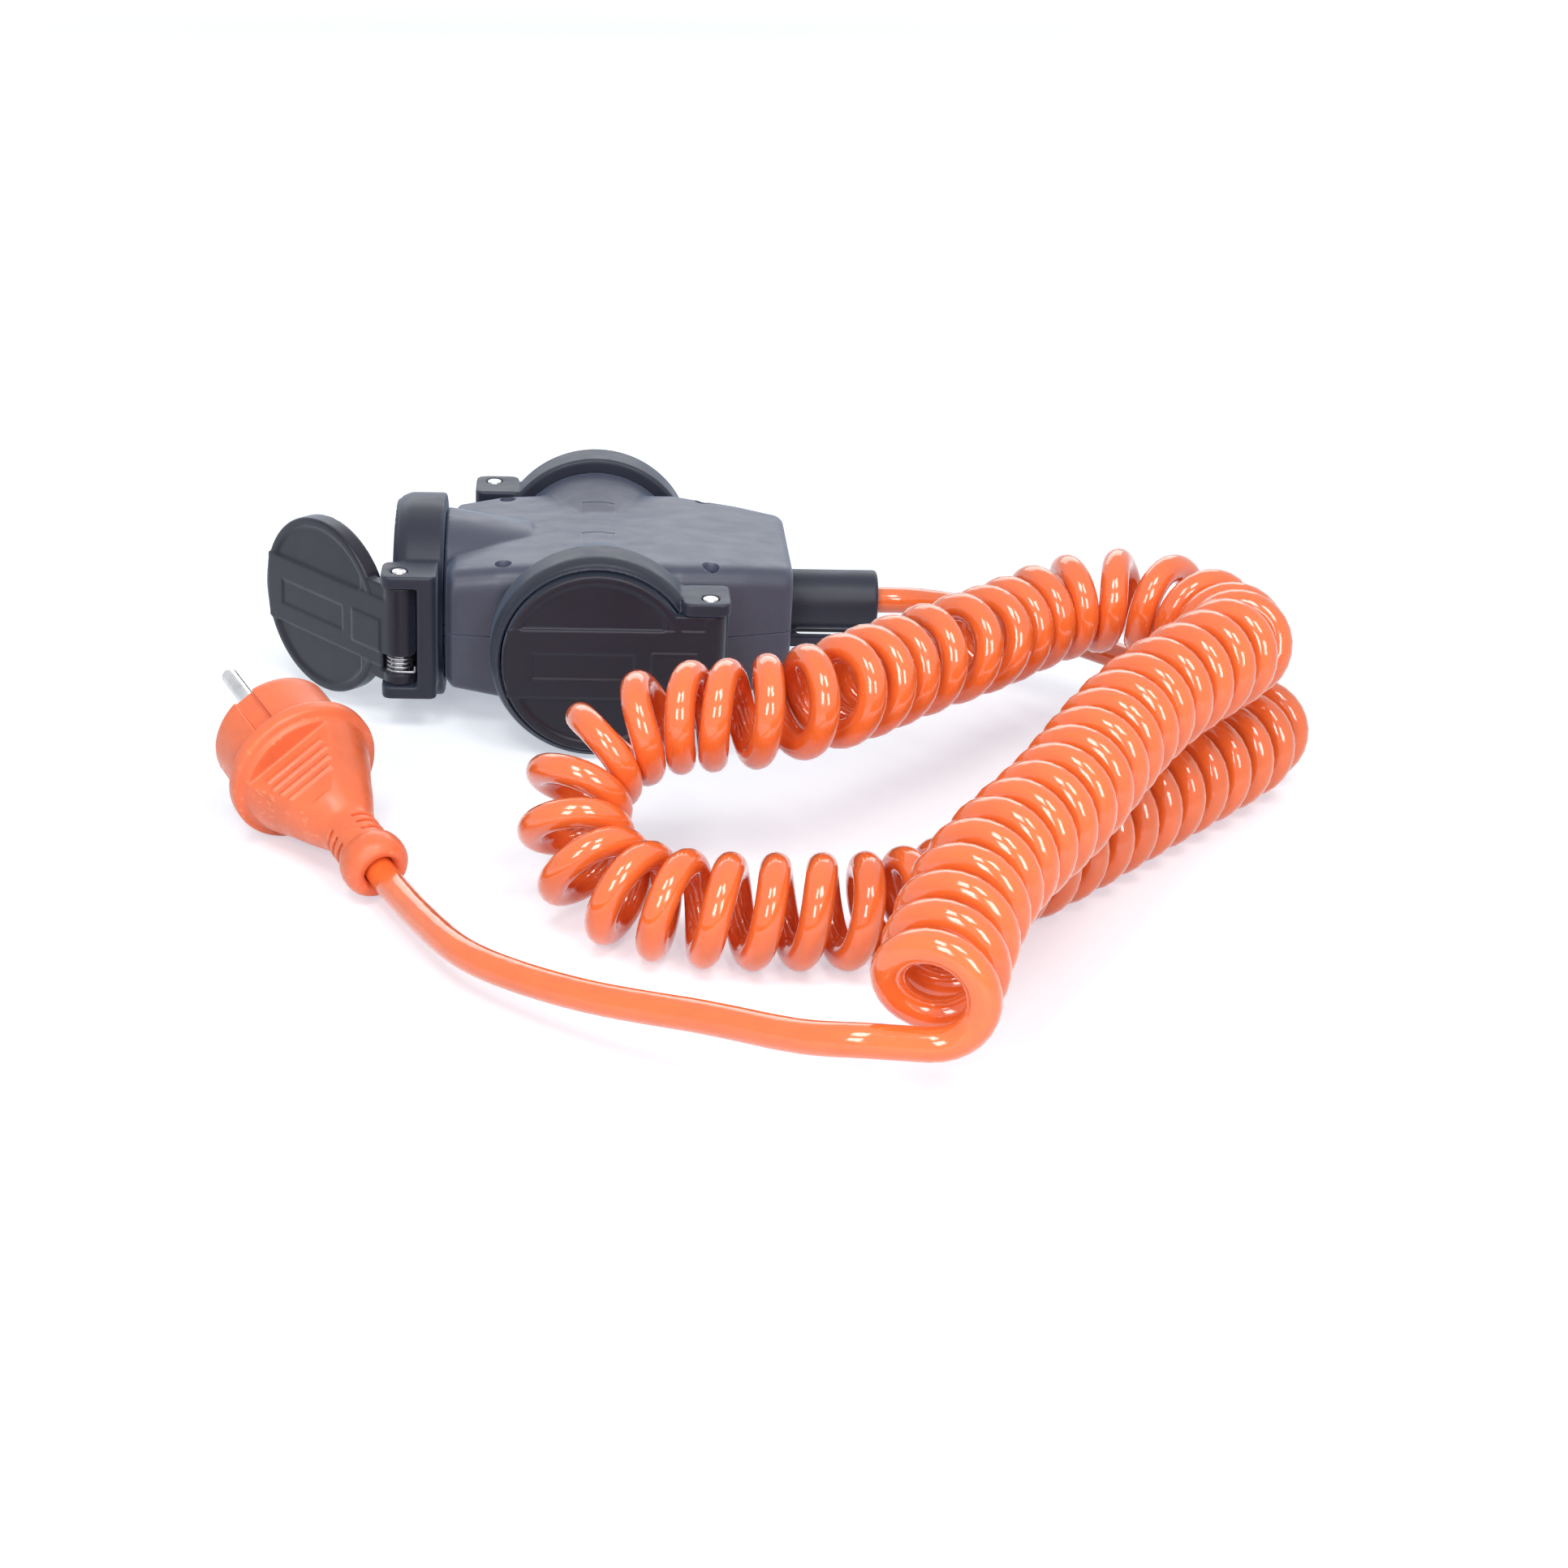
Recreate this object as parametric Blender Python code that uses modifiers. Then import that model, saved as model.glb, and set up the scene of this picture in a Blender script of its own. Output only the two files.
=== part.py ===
"""Three-way rubber socket distributor on a curly mains cord with a moulded plug.

X runs along the distributor towards its cord gland, the front socket faces -Y and Z is up.
The floor is z = 0, and the box of the distributor is centred on X = 0 and Y = 0.
Sizes are in metres and angles in degrees.
"""

import math

import bmesh
import bpy
import numpy as np
from mathutils import Matrix, Vector

OBJECT_NAME = "curly_cord_distributor"

# Shared sizes
GAP = 0.0003
WALL = 0.003
AXIS_HEIGHT = 0.0314
EMPTY_SIZE = 0.01
ROUND = 24
MEDIUM_ROUND = 16
SMALL_ROUND = 10

# Socket units, each in its own frame: x towards the hinge, y up, z out of the socket
FRONT_REACH = 0.052
LEFT_REACH = 0.059
COLLAR_RADIUS = 0.032
COLLAR_DEPTH = 0.0118
COLLAR_CHAMFER = 0.0009
COLLAR_SLOPE_END = 0.0006
RIM_RADIUS = 0.0299
STEP_WIDTH = 0.0008
STEP_HEIGHT = 0.0024
RIM_WALL = 0.0011
RIM_HEIGHT = 0.0037
SPIGOT_RADIUS = 0.025
SPIGOT_LENGTH = 0.0062
BORE_RADIUS = 0.0223

# Hinge: two ears on the collar, a barrel on the lid and a pin
HINGE_REACH = 0.0335
HINGE_OUT = 0.001
PIN_RADIUS = 0.0024
BARREL_RADIUS = 0.005
BARREL_HALF = 0.0157
EAR_GAP = 0.0003
EAR_WIDTH = 0.004
EAR_INNER = 0.008
EAR_OUTER = 0.006
EAR_TOP = 0.0055
EAR_ROUND = 0.003
BLOCK_DEPTH = 0.0105
BLOCK_START = 0.024
POCKET_CLEARANCE = 0.0006
RIM_OPENING_START = 0.020

# Lid and its seal
LID_RADIUS = 0.0282
LID_UNDERSIDE = 0.0015
LID_TOP = 0.006
LID_BEAD_WIDTH = 0.0026
LID_BEAD_STEP = 0.0002
LID_DISH = 0.001
LID_EDGE = 0.0006
SKIRT_WIDTH = 0.0022
BAND_HALF = 0.011
NECK_START = 0.020
NECK_STEP = 0.0004
SEAL_OUTER = 0.0257
SEAL_INNER = 0.0226
LID_OPEN_LEFT = 43.0

# Lid spring, wound round the pin in a slot of the barrel
SLOT_START = -0.0125
SLOT_END = -0.0065
SLOT_DEPTH_RADIUS = 0.0054
SPRING_RADIUS = 0.0039
SPRING_WIRE = 0.00045
SPRING_PITCH = 0.00135
SPRING_TURNS = 3.25
SPRING_POINTS = 8
SPRING_TAIL = 0.002

# Insert with the plug cup and its contacts
INSERT_STEP = 0.001
INSERT_DEPTH = 0.0245
CUP_RADIUS = 0.01975
CUP_MOUTH_RADIUS = 0.0203
CUP_FLOOR = 0.0185
CONTACT_SPACING = 0.019
CONTACT_HOLE_RADIUS = 0.0029
CONTACT_SEAT = 0.0205
CONTACT_RADIUS = 0.0032
CONTACT_BORE = 0.00245
CONTACT_END = 0.033
CONTACT_WALL = 0.0012
GUIDE_WIDTH = 0.0048
GUIDE_RISE = 0.0021
CLIP_WIDTH = 0.006
CLIP_THICKNESS = 0.0008
CLIP_REACH = 0.019
CLIP_START = 0.006
CLIP_BEND = 0.0009
CLIP_BEND_STEP = 0.003

# Busbars that join the contacts
BUSBAR_HALF = 0.003
BUSBAR_THICKNESS = 0.001
BUSBAR_LAP = 0.003
BUSBAR_END = 0.036
EARTH_BAR_RISE = 0.012

# Housing of two half shells. Each section is its place along X, or its distance from the
# near end, and how much narrower and lower it is than the widest one
HALF_WIDTH = 0.037
HALF_HEIGHT = 0.0226
HOUSING_CORNER = 0.007
HOUSING_RIGHT = 0.060
HOUSING_LEFT_TAPER = ((0.0, 0.0040, 0.0051), (0.002, 0.0020, 0.0031))
HOUSING_SECTIONS = (
    (-0.030, 0.0002, 0.0011),
    (-0.010, 0.0, 0.0),
    (0.025, 0.0, 0.0),
    (0.045, 0.0045, 0.0016),
)
HOUSING_RIGHT_TAPER = ((0.002, 0.0080, 0.0033), (0.0, 0.0095, 0.0046))
TUBE_STEP = 0.0009
TUBE_RADIUS = 0.028
LEFT_TUBE_RADIUS = 0.0275
TUBE_ROOT_RADIUS = 0.023
TUBE_ROOT = 0.014
LEFT_TUBE_ROOT = 0.020
SCREW_SPOTS = ((-0.0286, -0.0301), (-0.0286, 0.0301), (0.0346, -0.0301), (0.0346, 0.0301))
BOSS_RADIUS = 0.0038
BOSS_HALF_HEIGHT = 0.0201
SCREW_HEAD_RADIUS = 0.0022
SCREW_HEAD_HEIGHT = 0.0021
SCREW_SHANK_RADIUS = 0.0015
SCREW_LENGTH = 0.020
SCREW_SEAT_RISE = 0.0086

# Cord gland, hanging strap and the clamp inside
CORD_RADIUS = 0.0041
GLAND_RADIUS = 0.0094
GLAND_LENGTH = 0.0282
GLAND_NECK_RADIUS = 0.008
GLAND_FLANGE_RADIUS = 0.0096
GLAND_FLANGE_THICKNESS = 0.0022
GLAND_ROUND = 0.0012
STRAP_THICKNESS = 0.003
STRAP_HALF_WIDTH = 0.008
STRAP_LENGTH = 0.0265
STRAP_BAND = 0.0035
STRAP_HEAD_HALF = 0.0105
STRAP_HEAD_LENGTH = 0.0018
STUB_START = 0.044
CLAMP_START = 0.046
CLAMP_LENGTH = 0.006
CLAMP_HALF_WIDTH = 0.013
CLAMP_HEIGHT = 0.007
CLAMP_SCREW_OFFSET = 0.008
CLAMP_SCREW_RADIUS = 0.0013
CLAMP_SCREW_HEAD = 0.0026
CLAMP_SCREW_LENGTH = 0.014

# Curly cord, its free ends and their routes, measured from the crossing of the socket axes
CURL_RADIUS = 0.0114
CURL_PITCH = 0.0121
CURL_GAP = 0.0008
CURL_POINTS = 8
CURL_ROUTE = (
    (0.196, -0.060, 0.016),
    (0.190, -0.0716, 0.016),
    (0.1733, -0.091, 0.016),
    (0.145, -0.121, 0.016),
    (0.107, -0.160, 0.016),
    (0.075, -0.181, 0.016),
    (0.0508, -0.184, 0.016),
    (0.0235, -0.183, 0.016),
    (0.002, -0.171, 0.0174),
    (-0.006, -0.155, 0.025),
    (-0.003, -0.141, 0.0343),
    (0.007, -0.133, 0.0417),
    (0.021, -0.131, 0.0465),
    (0.0414, -0.133, 0.0494),
    (0.064, -0.124, 0.0518),
    (0.0833, -0.1015, 0.0497),
    (0.1035, -0.0818, 0.0488),
    (0.120, -0.0596, 0.0455),
    (0.1428, -0.0434, 0.0475),
    (0.163, -0.044, 0.049),
    (0.1766, -0.055, 0.0485),
    (0.182, -0.070, 0.049),
    (0.178, -0.0894, 0.0525),
    (0.1475, -0.1277, 0.0518),
    (0.1146, -0.184, 0.0478),
    (0.0907, -0.2233, 0.0463),
    (0.073, -0.273, 0.040),
)
TAIL_ROUTE = (
    (0.112, 0.004, 0.0285),
    (0.135, -0.003, 0.025),
    (0.155, -0.020, 0.024),
    (0.170, -0.037, 0.025),
)
LEAD_ROUTE = (
    (0.046, -0.2635, 0.0255),
    (0.0251, -0.2462, 0.020),
    (-0.0014, -0.2289, 0.015),
    (-0.0277, -0.2073, 0.0115),
    (-0.0400, -0.1900, 0.0100),
)
CORD_STEP = 0.013

# Plug, built along its own axis from the cord end
PLUG_PLACE = (-0.0575, -0.155, 0.0099)
PLUG_HEADING = 121.0
PLUG_TILT = 13.0
PLUG_ROLL = 54.0
PLUG_ROUND = 20
PLUG_EDGE = 0.0009
PLUG_END_RADIUS = 0.0092
PLUG_END_LENGTH = 0.0116
PLUG_NECK_RADIUS = 0.0077
PLUG_NECK_END = 0.0205
PLUG_GRIP = (
    (0.0194, 0.0474),
    (0.0178, 0.0430),
    (0.0145, 0.0360),
    (0.0120, 0.0295),
    (0.0092, 0.0235),
)
PLUG_BORE_DEPTH = 0.004
PLUG_FLANGE_START = 0.048
PLUG_FLANGE_THICKNESS = 0.0044
PLUG_FLANGE_RADIUS = 0.022
PLUG_FRONT_RADIUS = 0.0185
PLUG_LENGTH = 0.071
FLEX_SLOT_COUNT = 3
FLEX_SLOT_START = 0.0128
FLEX_SLOT_PITCH = 0.0029
FLEX_SLOT_WIDTH = 0.0011
FLEX_SLOT_RADIUS = 0.0062
FLEX_WEB_HALF = 0.003
GRIP_START = 0.027
GRIP_OFFSET = 0.012
GRIP_RISE = 0.0019
RIB_COUNT = 4
RIB_START = 0.0325
RIB_PITCH = 0.0031
RIB_HALF_LENGTH = 0.0095
RIB_FIRST_HALF = 0.0074
RIB_GROWTH = 0.0011
RIB_WIDTH = 0.0011
RIB_HEIGHT = 0.0007
GROOVE_HALF = 0.0029
GROOVE_DEPTH = 0.0022
PLUG_PIN_LENGTH = 0.019
PLUG_PIN_HOLD = 0.009
PIN_NOSE = 0.0022
SIDE_CLIP_HALF = 0.003
SIDE_CLIP_THICKNESS = 0.0011
SIDE_CLIP_MARGIN = 0.0016

# Colour, roughness and metallic value of each material
LOOKS = {
    "housing": ((0.030, 0.032, 0.040), 0.50, 0.0),
    "lid": ((0.022, 0.023, 0.028), 0.45, 0.0),
    "insert": ((0.012, 0.012, 0.014), 0.40, 0.0),
    "seal": ((0.015, 0.015, 0.016), 0.75, 0.0),
    "steel": ((0.62, 0.62, 0.64), 0.28, 1.0),
    "brass": ((0.72, 0.53, 0.22), 0.32, 1.0),
    "cord": ((0.86, 0.17, 0.035), 0.30, 0.0),
    "plug": ((0.82, 0.22, 0.085), 0.55, 0.0),
    "clamp": ((0.60, 0.60, 0.58), 0.50, 0.0),
}

# Sizes that follow from those above
PIN_BORE = PIN_RADIUS + GAP
RIM_INNER = RIM_RADIUS - RIM_WALL
STEP_RADIUS = RIM_RADIUS + STEP_WIDTH
EAR_START = BARREL_HALF + EAR_GAP
EAR_END = EAR_START + EAR_WIDTH
CLIP_BACK = INSERT_DEPTH + GAP + CLIP_THICKNESS
FRONT_TUBE_END = FRONT_REACH - COLLAR_DEPTH - GAP
LEFT_TUBE_END = LEFT_REACH - COLLAR_DEPTH - GAP
GLAND_START = HOUSING_RIGHT + GAP
GLAND_END = GLAND_START + GLAND_LENGTH
CORD_BORE = CORD_RADIUS + GAP
SCREW_HOLE = SCREW_SHANK_RADIUS + GAP
STRAP_TOP = AXIS_HEIGHT - GLAND_RADIUS - 2 * GAP
STRAP_BOTTOM = STRAP_TOP - STRAP_THICKNESS
PIN_OFFSET = CONTACT_SPACING / 2
UP = np.array((0.0, 0.0, 1.0))

# Turn of each socket about Z, reach of its seat face, rest angle of its lid, live contact's side
SOCKETS = {
    "left": (-90.0, LEFT_REACH, LID_OPEN_LEFT, -1),
    "front": (0.0, FRONT_REACH, 0.0, 1),
    "back": (180.0, FRONT_REACH, 0.0, -1),
}


def mesh_from(bm):
    """The mesh of an edit mesh, with its faces pointing out."""
    bmesh.ops.recalc_face_normals(bm, faces=bm.faces)
    mesh = bpy.data.meshes.new("solid")
    bm.to_mesh(mesh)
    bm.free()
    return mesh


def scene_object(data):
    """A passing object that holds some data while its modifiers are worked out."""
    obj = bpy.data.objects.new("passing", data)
    bpy.context.scene.collection.objects.link(obj)
    return obj


def finished_mesh(obj):
    """The evaluated mesh of a passing object, with its caps welded. The object is removed."""
    graph = bpy.context.evaluated_depsgraph_get()
    evaluated = bpy.data.meshes.new_from_object(obj.evaluated_get(graph))
    bm = bmesh.new()
    bm.from_mesh(evaluated)
    bmesh.ops.remove_doubles(bm, verts=bm.verts, dist=1e-6)
    bpy.data.meshes.remove(evaluated)
    bpy.data.objects.remove(obj)
    return mesh_from(bm)


def box(low, high):
    """A box between two corners."""
    bm = bmesh.new()
    bmesh.ops.create_cube(bm, size=1.0)
    bmesh.ops.scale(bm, vec=Vector(high) - Vector(low), verts=bm.verts)
    bmesh.ops.translate(bm, vec=(Vector(high) + Vector(low)) / 2, verts=bm.verts)
    return mesh_from(bm)


def rod(start, end, radius, end_radius=None, segments=ROUND):
    """A cylinder, or a cone, between two points."""
    start, end = Vector(start), Vector(end)
    axis = end - start
    turn = axis.to_track_quat("Z", "Y").to_matrix().to_4x4()
    bm = bmesh.new()
    bmesh.ops.create_cone(
        bm,
        cap_ends=True,
        segments=segments,
        radius1=radius,
        radius2=radius if end_radius is None else end_radius,
        depth=axis.length,
        matrix=Matrix.Translation((start + end) / 2) @ turn,
    )
    return mesh_from(bm)


def turned(profile, segments=ROUND):
    """A body of revolution about Z. Its (radius, height) points run down its outer side."""
    ring = profile[0][0] > 0
    count = len(profile)
    edges = [(i, (i + 1) % count) for i in range(count if ring else count - 1)]
    mesh = bpy.data.meshes.new("profile")
    mesh.from_pydata([(radius, 0, height) for radius, height in profile], edges, [])
    obj = scene_object(mesh)
    screw = obj.modifiers.new("turn", "SCREW")
    screw.steps = screw.render_steps = segments
    screw.use_merge_vertices = True
    screw.merge_threshold = 1e-6
    return finished_mesh(obj)


def plate(outline, low, high, hole=()):
    """A flat piece with its outline, and perhaps a hole, in XY and its thickness along Z."""
    curve = bpy.data.curves.new("outline", "CURVE")
    curve.dimensions = "2D"
    curve.fill_mode = "BOTH"
    curve.extrude = (high - low) / 2
    for points in filter(len, (outline, hole)):
        spline = curve.splines.new("POLY")
        spline.points.add(len(points) - 1)
        for point, (x, y) in zip(spline.points, points):
            point.co = (x, y, 0, 1)
        spline.use_cyclic_u = True
    mesh = finished_mesh(scene_object(curve))
    mesh.transform(Matrix.Translation((0, 0, (low + high) / 2)))
    return mesh


def upright(mesh):
    """Turns a plate drawn in XY into the XZ plane, with its thickness along Y."""
    mesh.transform(Matrix.Rotation(math.radians(90), 4, "X"))
    return mesh


def sideways(mesh):
    """Turns a plate drawn as (y, z) into the YZ plane, with its thickness along X."""
    mesh.transform(Matrix(((0, 0, 1, 0), (1, 0, 0, 0), (0, 1, 0, 0), (0, 0, 0, 1))))
    return mesh


def loft(rings):
    """A skin through rings of equal point counts, closed at both ends."""
    bm = bmesh.new()
    loops = [[bm.verts.new(point) for point in ring] for ring in rings]
    for near, far in zip(loops, loops[1:]):
        for i in range(len(near)):
            bm.faces.new((near[i - 1], near[i], far[i], far[i - 1]))
    bm.faces.new(loops[0])
    bm.faces.new(loops[-1])
    return mesh_from(bm)


def combined(mesh, tools, operation):
    """The mesh joined with, or cut by, each tool in turn."""
    body = scene_object(mesh)
    helpers = [scene_object(tool) for tool in tools]
    for helper in helpers:
        modifier = body.modifiers.new(operation, "BOOLEAN")
        modifier.operation = operation
        modifier.object = helper
    result = finished_mesh(body)
    for helper in helpers:
        bpy.data.objects.remove(helper)
    return result


def joined(mesh, *tools):
    return combined(mesh, tools, "UNION")


def cut(mesh, *tools):
    return combined(mesh, tools, "DIFFERENCE")


def arc(centre, radius, start, end, steps=3):
    """Points on an arc, with its angles in degrees."""
    angles = (math.radians(start + (end - start) * i / steps) for i in range(steps + 1))
    return [
        (centre[0] + radius * math.cos(a), centre[1] + radius * math.sin(a)) for a in angles
    ]


def rounded_outline(low, high, corner):
    """A rectangle between two corners with its four corners rounded."""
    left, right = low[0] + corner, high[0] - corner
    bottom, top = low[1] + corner, high[1] - corner
    corners = ((right, top, 0), (left, top, 90), (left, bottom, 180), (right, bottom, 270))
    return [
        point for x, y, start in corners for point in arc((x, y), corner, start, start + 90)
    ]


def smooth_curve(route, step):
    """Points at an even step on the natural cubic spline through a route."""
    knots = np.array(route, dtype=float)
    chord = np.sqrt(np.linalg.norm(np.diff(knots, axis=0), axis=1))
    at = np.concatenate(([0.0], np.cumsum(chord)))
    count = len(knots)
    matrix = np.eye(count)
    right = np.zeros((count, 3))
    slope = np.diff(knots, axis=0) / chord[:, None]
    for i in range(1, count - 1):
        matrix[i, i - 1 : i + 2] = (chord[i - 1], 2 * (chord[i - 1] + chord[i]), chord[i])
        right[i] = 6 * (slope[i] - slope[i - 1])
    bend = np.linalg.solve(matrix, right)
    fine = np.linspace(0, at[-1], 100 * count)
    k = np.clip(np.searchsorted(at, fine, side="right") - 1, 0, count - 2)
    width = chord[k][:, None]
    before = (at[k + 1] - fine)[:, None] / width
    after = 1 - before
    curve = before * knots[k] + after * knots[k + 1]
    curve += ((before**3 - before) * bend[k] + (after**3 - after) * bend[k + 1]) * width**2 / 6
    lengths = np.linalg.norm(np.diff(curve, axis=0), axis=1)
    travelled = np.concatenate(([0.0], np.cumsum(lengths)))
    even = np.linspace(0, travelled[-1], max(2, round(travelled[-1] / step) + 1))
    return np.column_stack([np.interp(even, travelled, curve[:, axis]) for axis in range(3)])


def unit(vectors):
    return vectors / np.linalg.norm(vectors, axis=-1, keepdims=True)


def curl_points():
    """Centre line of the curly cord: a left-handed helix round its route, and two straight ends.

    The pitch opens where the route bends, so that the curls never meet on its inner side.
    """
    axis = smooth_curve(CURL_ROUTE, 0.001)
    steps = np.linalg.norm(np.diff(axis, axis=0), axis=1)
    along = unit(np.gradient(axis, axis=0))
    side = unit(np.cross(along, UP))
    up = np.cross(side, along)
    bend = np.linalg.norm(np.gradient(along, axis=0), axis=1) / steps.mean()
    closest = 2 * CORD_RADIUS + CURL_GAP
    pitch = np.maximum(CURL_PITCH, closest / (1 - bend * CURL_RADIUS))
    turns = np.concatenate(([0.0], np.cumsum(steps / pitch[1:])))
    whole = math.floor(turns[-1] - 0.5) + 0.5
    turns *= whole / turns[-1]
    at = np.arange(round(whole * CURL_POINTS) + 1) / CURL_POINTS
    centre, rise, across = (
        np.column_stack([np.interp(at, turns, values[:, i]) for i in range(3)])
        for values in (axis, up, side)
    )
    angle = (2 * math.pi * at)[:, None]
    helix = centre + CURL_RADIUS * (np.cos(angle) * rise - np.sin(angle) * across)
    turn_length = 2 * math.pi * CURL_RADIUS
    start_way = unit(pitch[0] * along[0] - turn_length * side[0])
    end_way = unit(pitch[-1] * along[-1] + turn_length * side[-1])
    straight = 2 * CORD_RADIUS
    start = helix[0] - straight * start_way
    end = helix[-1] + straight * end_way
    return np.vstack((start, helix, end)), start_way, end_way


def least_gap(points, per_turn, radius):
    """Least clear distance between the turns of a tube, measured on points along it."""
    parts = 4
    fractions = np.arange(parts)[:, None] / parts
    fine = np.concatenate(
        [a + (b - a) * fractions for a, b in zip(points[:-1], points[1:])] + [points[-1:]]
    )
    apart = per_turn * parts // 2
    distances = (
        np.linalg.norm(fine[i + apart :] - fine[i], axis=1).min()
        for i in range(len(fine) - apart)
    )
    return min(distances) - 2 * radius


def material(name, look):
    colour, roughness, metallic = LOOKS[look]
    made = bpy.data.materials.new(name)
    made.use_nodes = True
    shader = made.node_tree.nodes["Principled BSDF"]
    shader.inputs["Base Color"].default_value = (*colour, 1)
    shader.inputs["Roughness"].default_value = roughness
    shader.inputs["Metallic"].default_value = metallic
    return made


def empty(name, parent=None, location=(0, 0, 0), rotation=(0, 0, 0)):
    """An empty that carries pieces. Its rotation is in degrees."""
    obj = bpy.data.objects.new(name, None)
    obj.empty_display_size = EMPTY_SIZE
    bpy.data.collections[OBJECT_NAME].objects.link(obj)
    obj.parent = parent
    obj.location = location
    obj.rotation_euler = [math.radians(angle) for angle in rotation]
    return obj


def piece(name, data, look, parent):
    """A finished piece of the object under its own name, with its own material."""
    data.name = name
    data.materials.clear()
    data.materials.append(material(name, look))
    obj = bpy.data.objects.new(name, data)
    bpy.data.collections[OBJECT_NAME].objects.link(obj)
    obj.parent = parent
    if isinstance(data, bpy.types.Mesh):
        data.shade_smooth()
        data.set_sharp_from_angle(angle=math.radians(30))
    return obj


def tube(name, points, radius, resolution, look, parent):
    """A round tube along a line of points, with closed ends."""
    curve = bpy.data.curves.new(name, "CURVE")
    curve.dimensions = "3D"
    curve.bevel_depth = radius
    curve.bevel_resolution = resolution
    curve.use_fill_caps = True
    spline = curve.splines.new("POLY")
    spline.points.add(len(points) - 1)
    for point, place in zip(spline.points, points):
        point.co = (*place, 1)
    return piece(name, curve, look, parent)


def collar_mesh():
    """Round collar on a spigot, flat at its foot, with two hinge ears and the barrel's pocket."""
    slope = -COLLAR_SLOPE_END
    back = -COLLAR_DEPTH
    ring = turned(
        (
            (RIM_RADIUS, RIM_HEIGHT),
            (RIM_RADIUS, STEP_HEIGHT),
            (STEP_RADIUS, STEP_HEIGHT),
            (COLLAR_RADIUS, slope),
            (COLLAR_RADIUS, back + COLLAR_CHAMFER),
            (COLLAR_RADIUS - COLLAR_CHAMFER, back),
            (SPIGOT_RADIUS, back),
            (SPIGOT_RADIUS, back - SPIGOT_LENGTH),
            (BORE_RADIUS, back - SPIGOT_LENGTH),
            (BORE_RADIUS, 0),
            (RIM_INNER, 0),
            (RIM_INNER, RIM_HEIGHT),
        )
    )
    inner, outer = HINGE_REACH - EAR_INNER, HINGE_REACH + EAR_OUTER
    top = HINGE_OUT + EAR_TOP
    ears = upright(
        plate(
            [
                (BLOCK_START, -BLOCK_DEPTH),
                (outer - EAR_ROUND, -BLOCK_DEPTH),
                (outer, EAR_ROUND - BLOCK_DEPTH),
                *arc((outer - EAR_ROUND, top - EAR_ROUND), EAR_ROUND, 0, 90),
                *arc((inner + EAR_ROUND, top - EAR_ROUND), EAR_ROUND, 90, 180),
                (inner, 0),
                (BLOCK_START, -COLLAR_SLOPE_END),
            ],
            -EAR_END,
            EAR_END,
        )
    )
    far = HINGE_REACH + 2 * EAR_OUTER
    pocket_side = HINGE_REACH - BARREL_RADIUS - POCKET_CLEARANCE
    pocket_floor = HINGE_OUT - BARREL_RADIUS - POCKET_CLEARANCE
    pocket = upright(
        plate(
            [
                (RIM_OPENING_START, 0),
                (pocket_side, 0),
                (pocket_side, pocket_floor),
                (far, pocket_floor),
                (far, 2 * top),
                (RIM_OPENING_START, 2 * top),
            ],
            -EAR_START,
            EAR_START,
        )
    )
    bore = hinge_rod(PIN_BORE, -2 * EAR_END, 2 * EAR_END)
    below = 2 * COLLAR_RADIUS
    foot = box((-below, -below, -below), (below, -AXIS_HEIGHT, below))
    return cut(joined(ring, ears), pocket, bore, foot)


def hinge_rod(radius, start, end):
    """A rod on the hinge axis, between two places along it."""
    ends = ((HINGE_REACH, y, HINGE_OUT) for y in (start, end))
    return rod(*ends, radius, segments=MEDIUM_ROUND)


def lid_mesh():
    """Dished lid with a raised band that runs into the hinge barrel, in the hinge's frame."""
    bead = LID_RADIUS - LID_EDGE
    dish = LID_TOP - LID_DISH
    disc = turned(
        (
            (0, dish),
            (bead - LID_BEAD_WIDTH, dish),
            (bead - LID_BEAD_WIDTH + LID_EDGE, LID_TOP - LID_BEAD_STEP),
            (bead, LID_TOP - LID_BEAD_STEP),
            (LID_RADIUS, LID_TOP - LID_BEAD_STEP - LID_EDGE),
            (LID_RADIUS, GAP),
            (LID_RADIUS - SKIRT_WIDTH, GAP),
            (LID_RADIUS - SKIRT_WIDTH, LID_UNDERSIDE),
            (0, LID_UNDERSIDE),
        )
    )
    band_end = bead - LID_BEAD_WIDTH / 2
    band = box((-band_end, -BAND_HALF, LID_TOP - 2 * LID_DISH), (HINGE_REACH, BAND_HALF, LID_TOP))
    neck = box(
        (NECK_START, -BARREL_HALF, LID_UNDERSIDE + GAP),
        (HINGE_REACH, BARREL_HALF, LID_TOP - NECK_STEP),
    )
    barrel = hinge_rod(BARREL_RADIUS, -BARREL_HALF, BARREL_HALF)
    slot = hinge_rod(SLOT_DEPTH_RADIUS, SLOT_START, SLOT_END)
    bore = hinge_rod(PIN_BORE, -2 * BARREL_HALF, 2 * BARREL_HALF)
    return cut(joined(disc, neck, band, barrel), slot, bore)


def seal_mesh():
    """Flat ring between the lid's underside and the seat face."""
    top = LID_UNDERSIDE - GAP
    return turned(((SEAL_OUTER, top), (SEAL_OUTER, GAP), (SEAL_INNER, GAP), (SEAL_INNER, top)))


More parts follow.
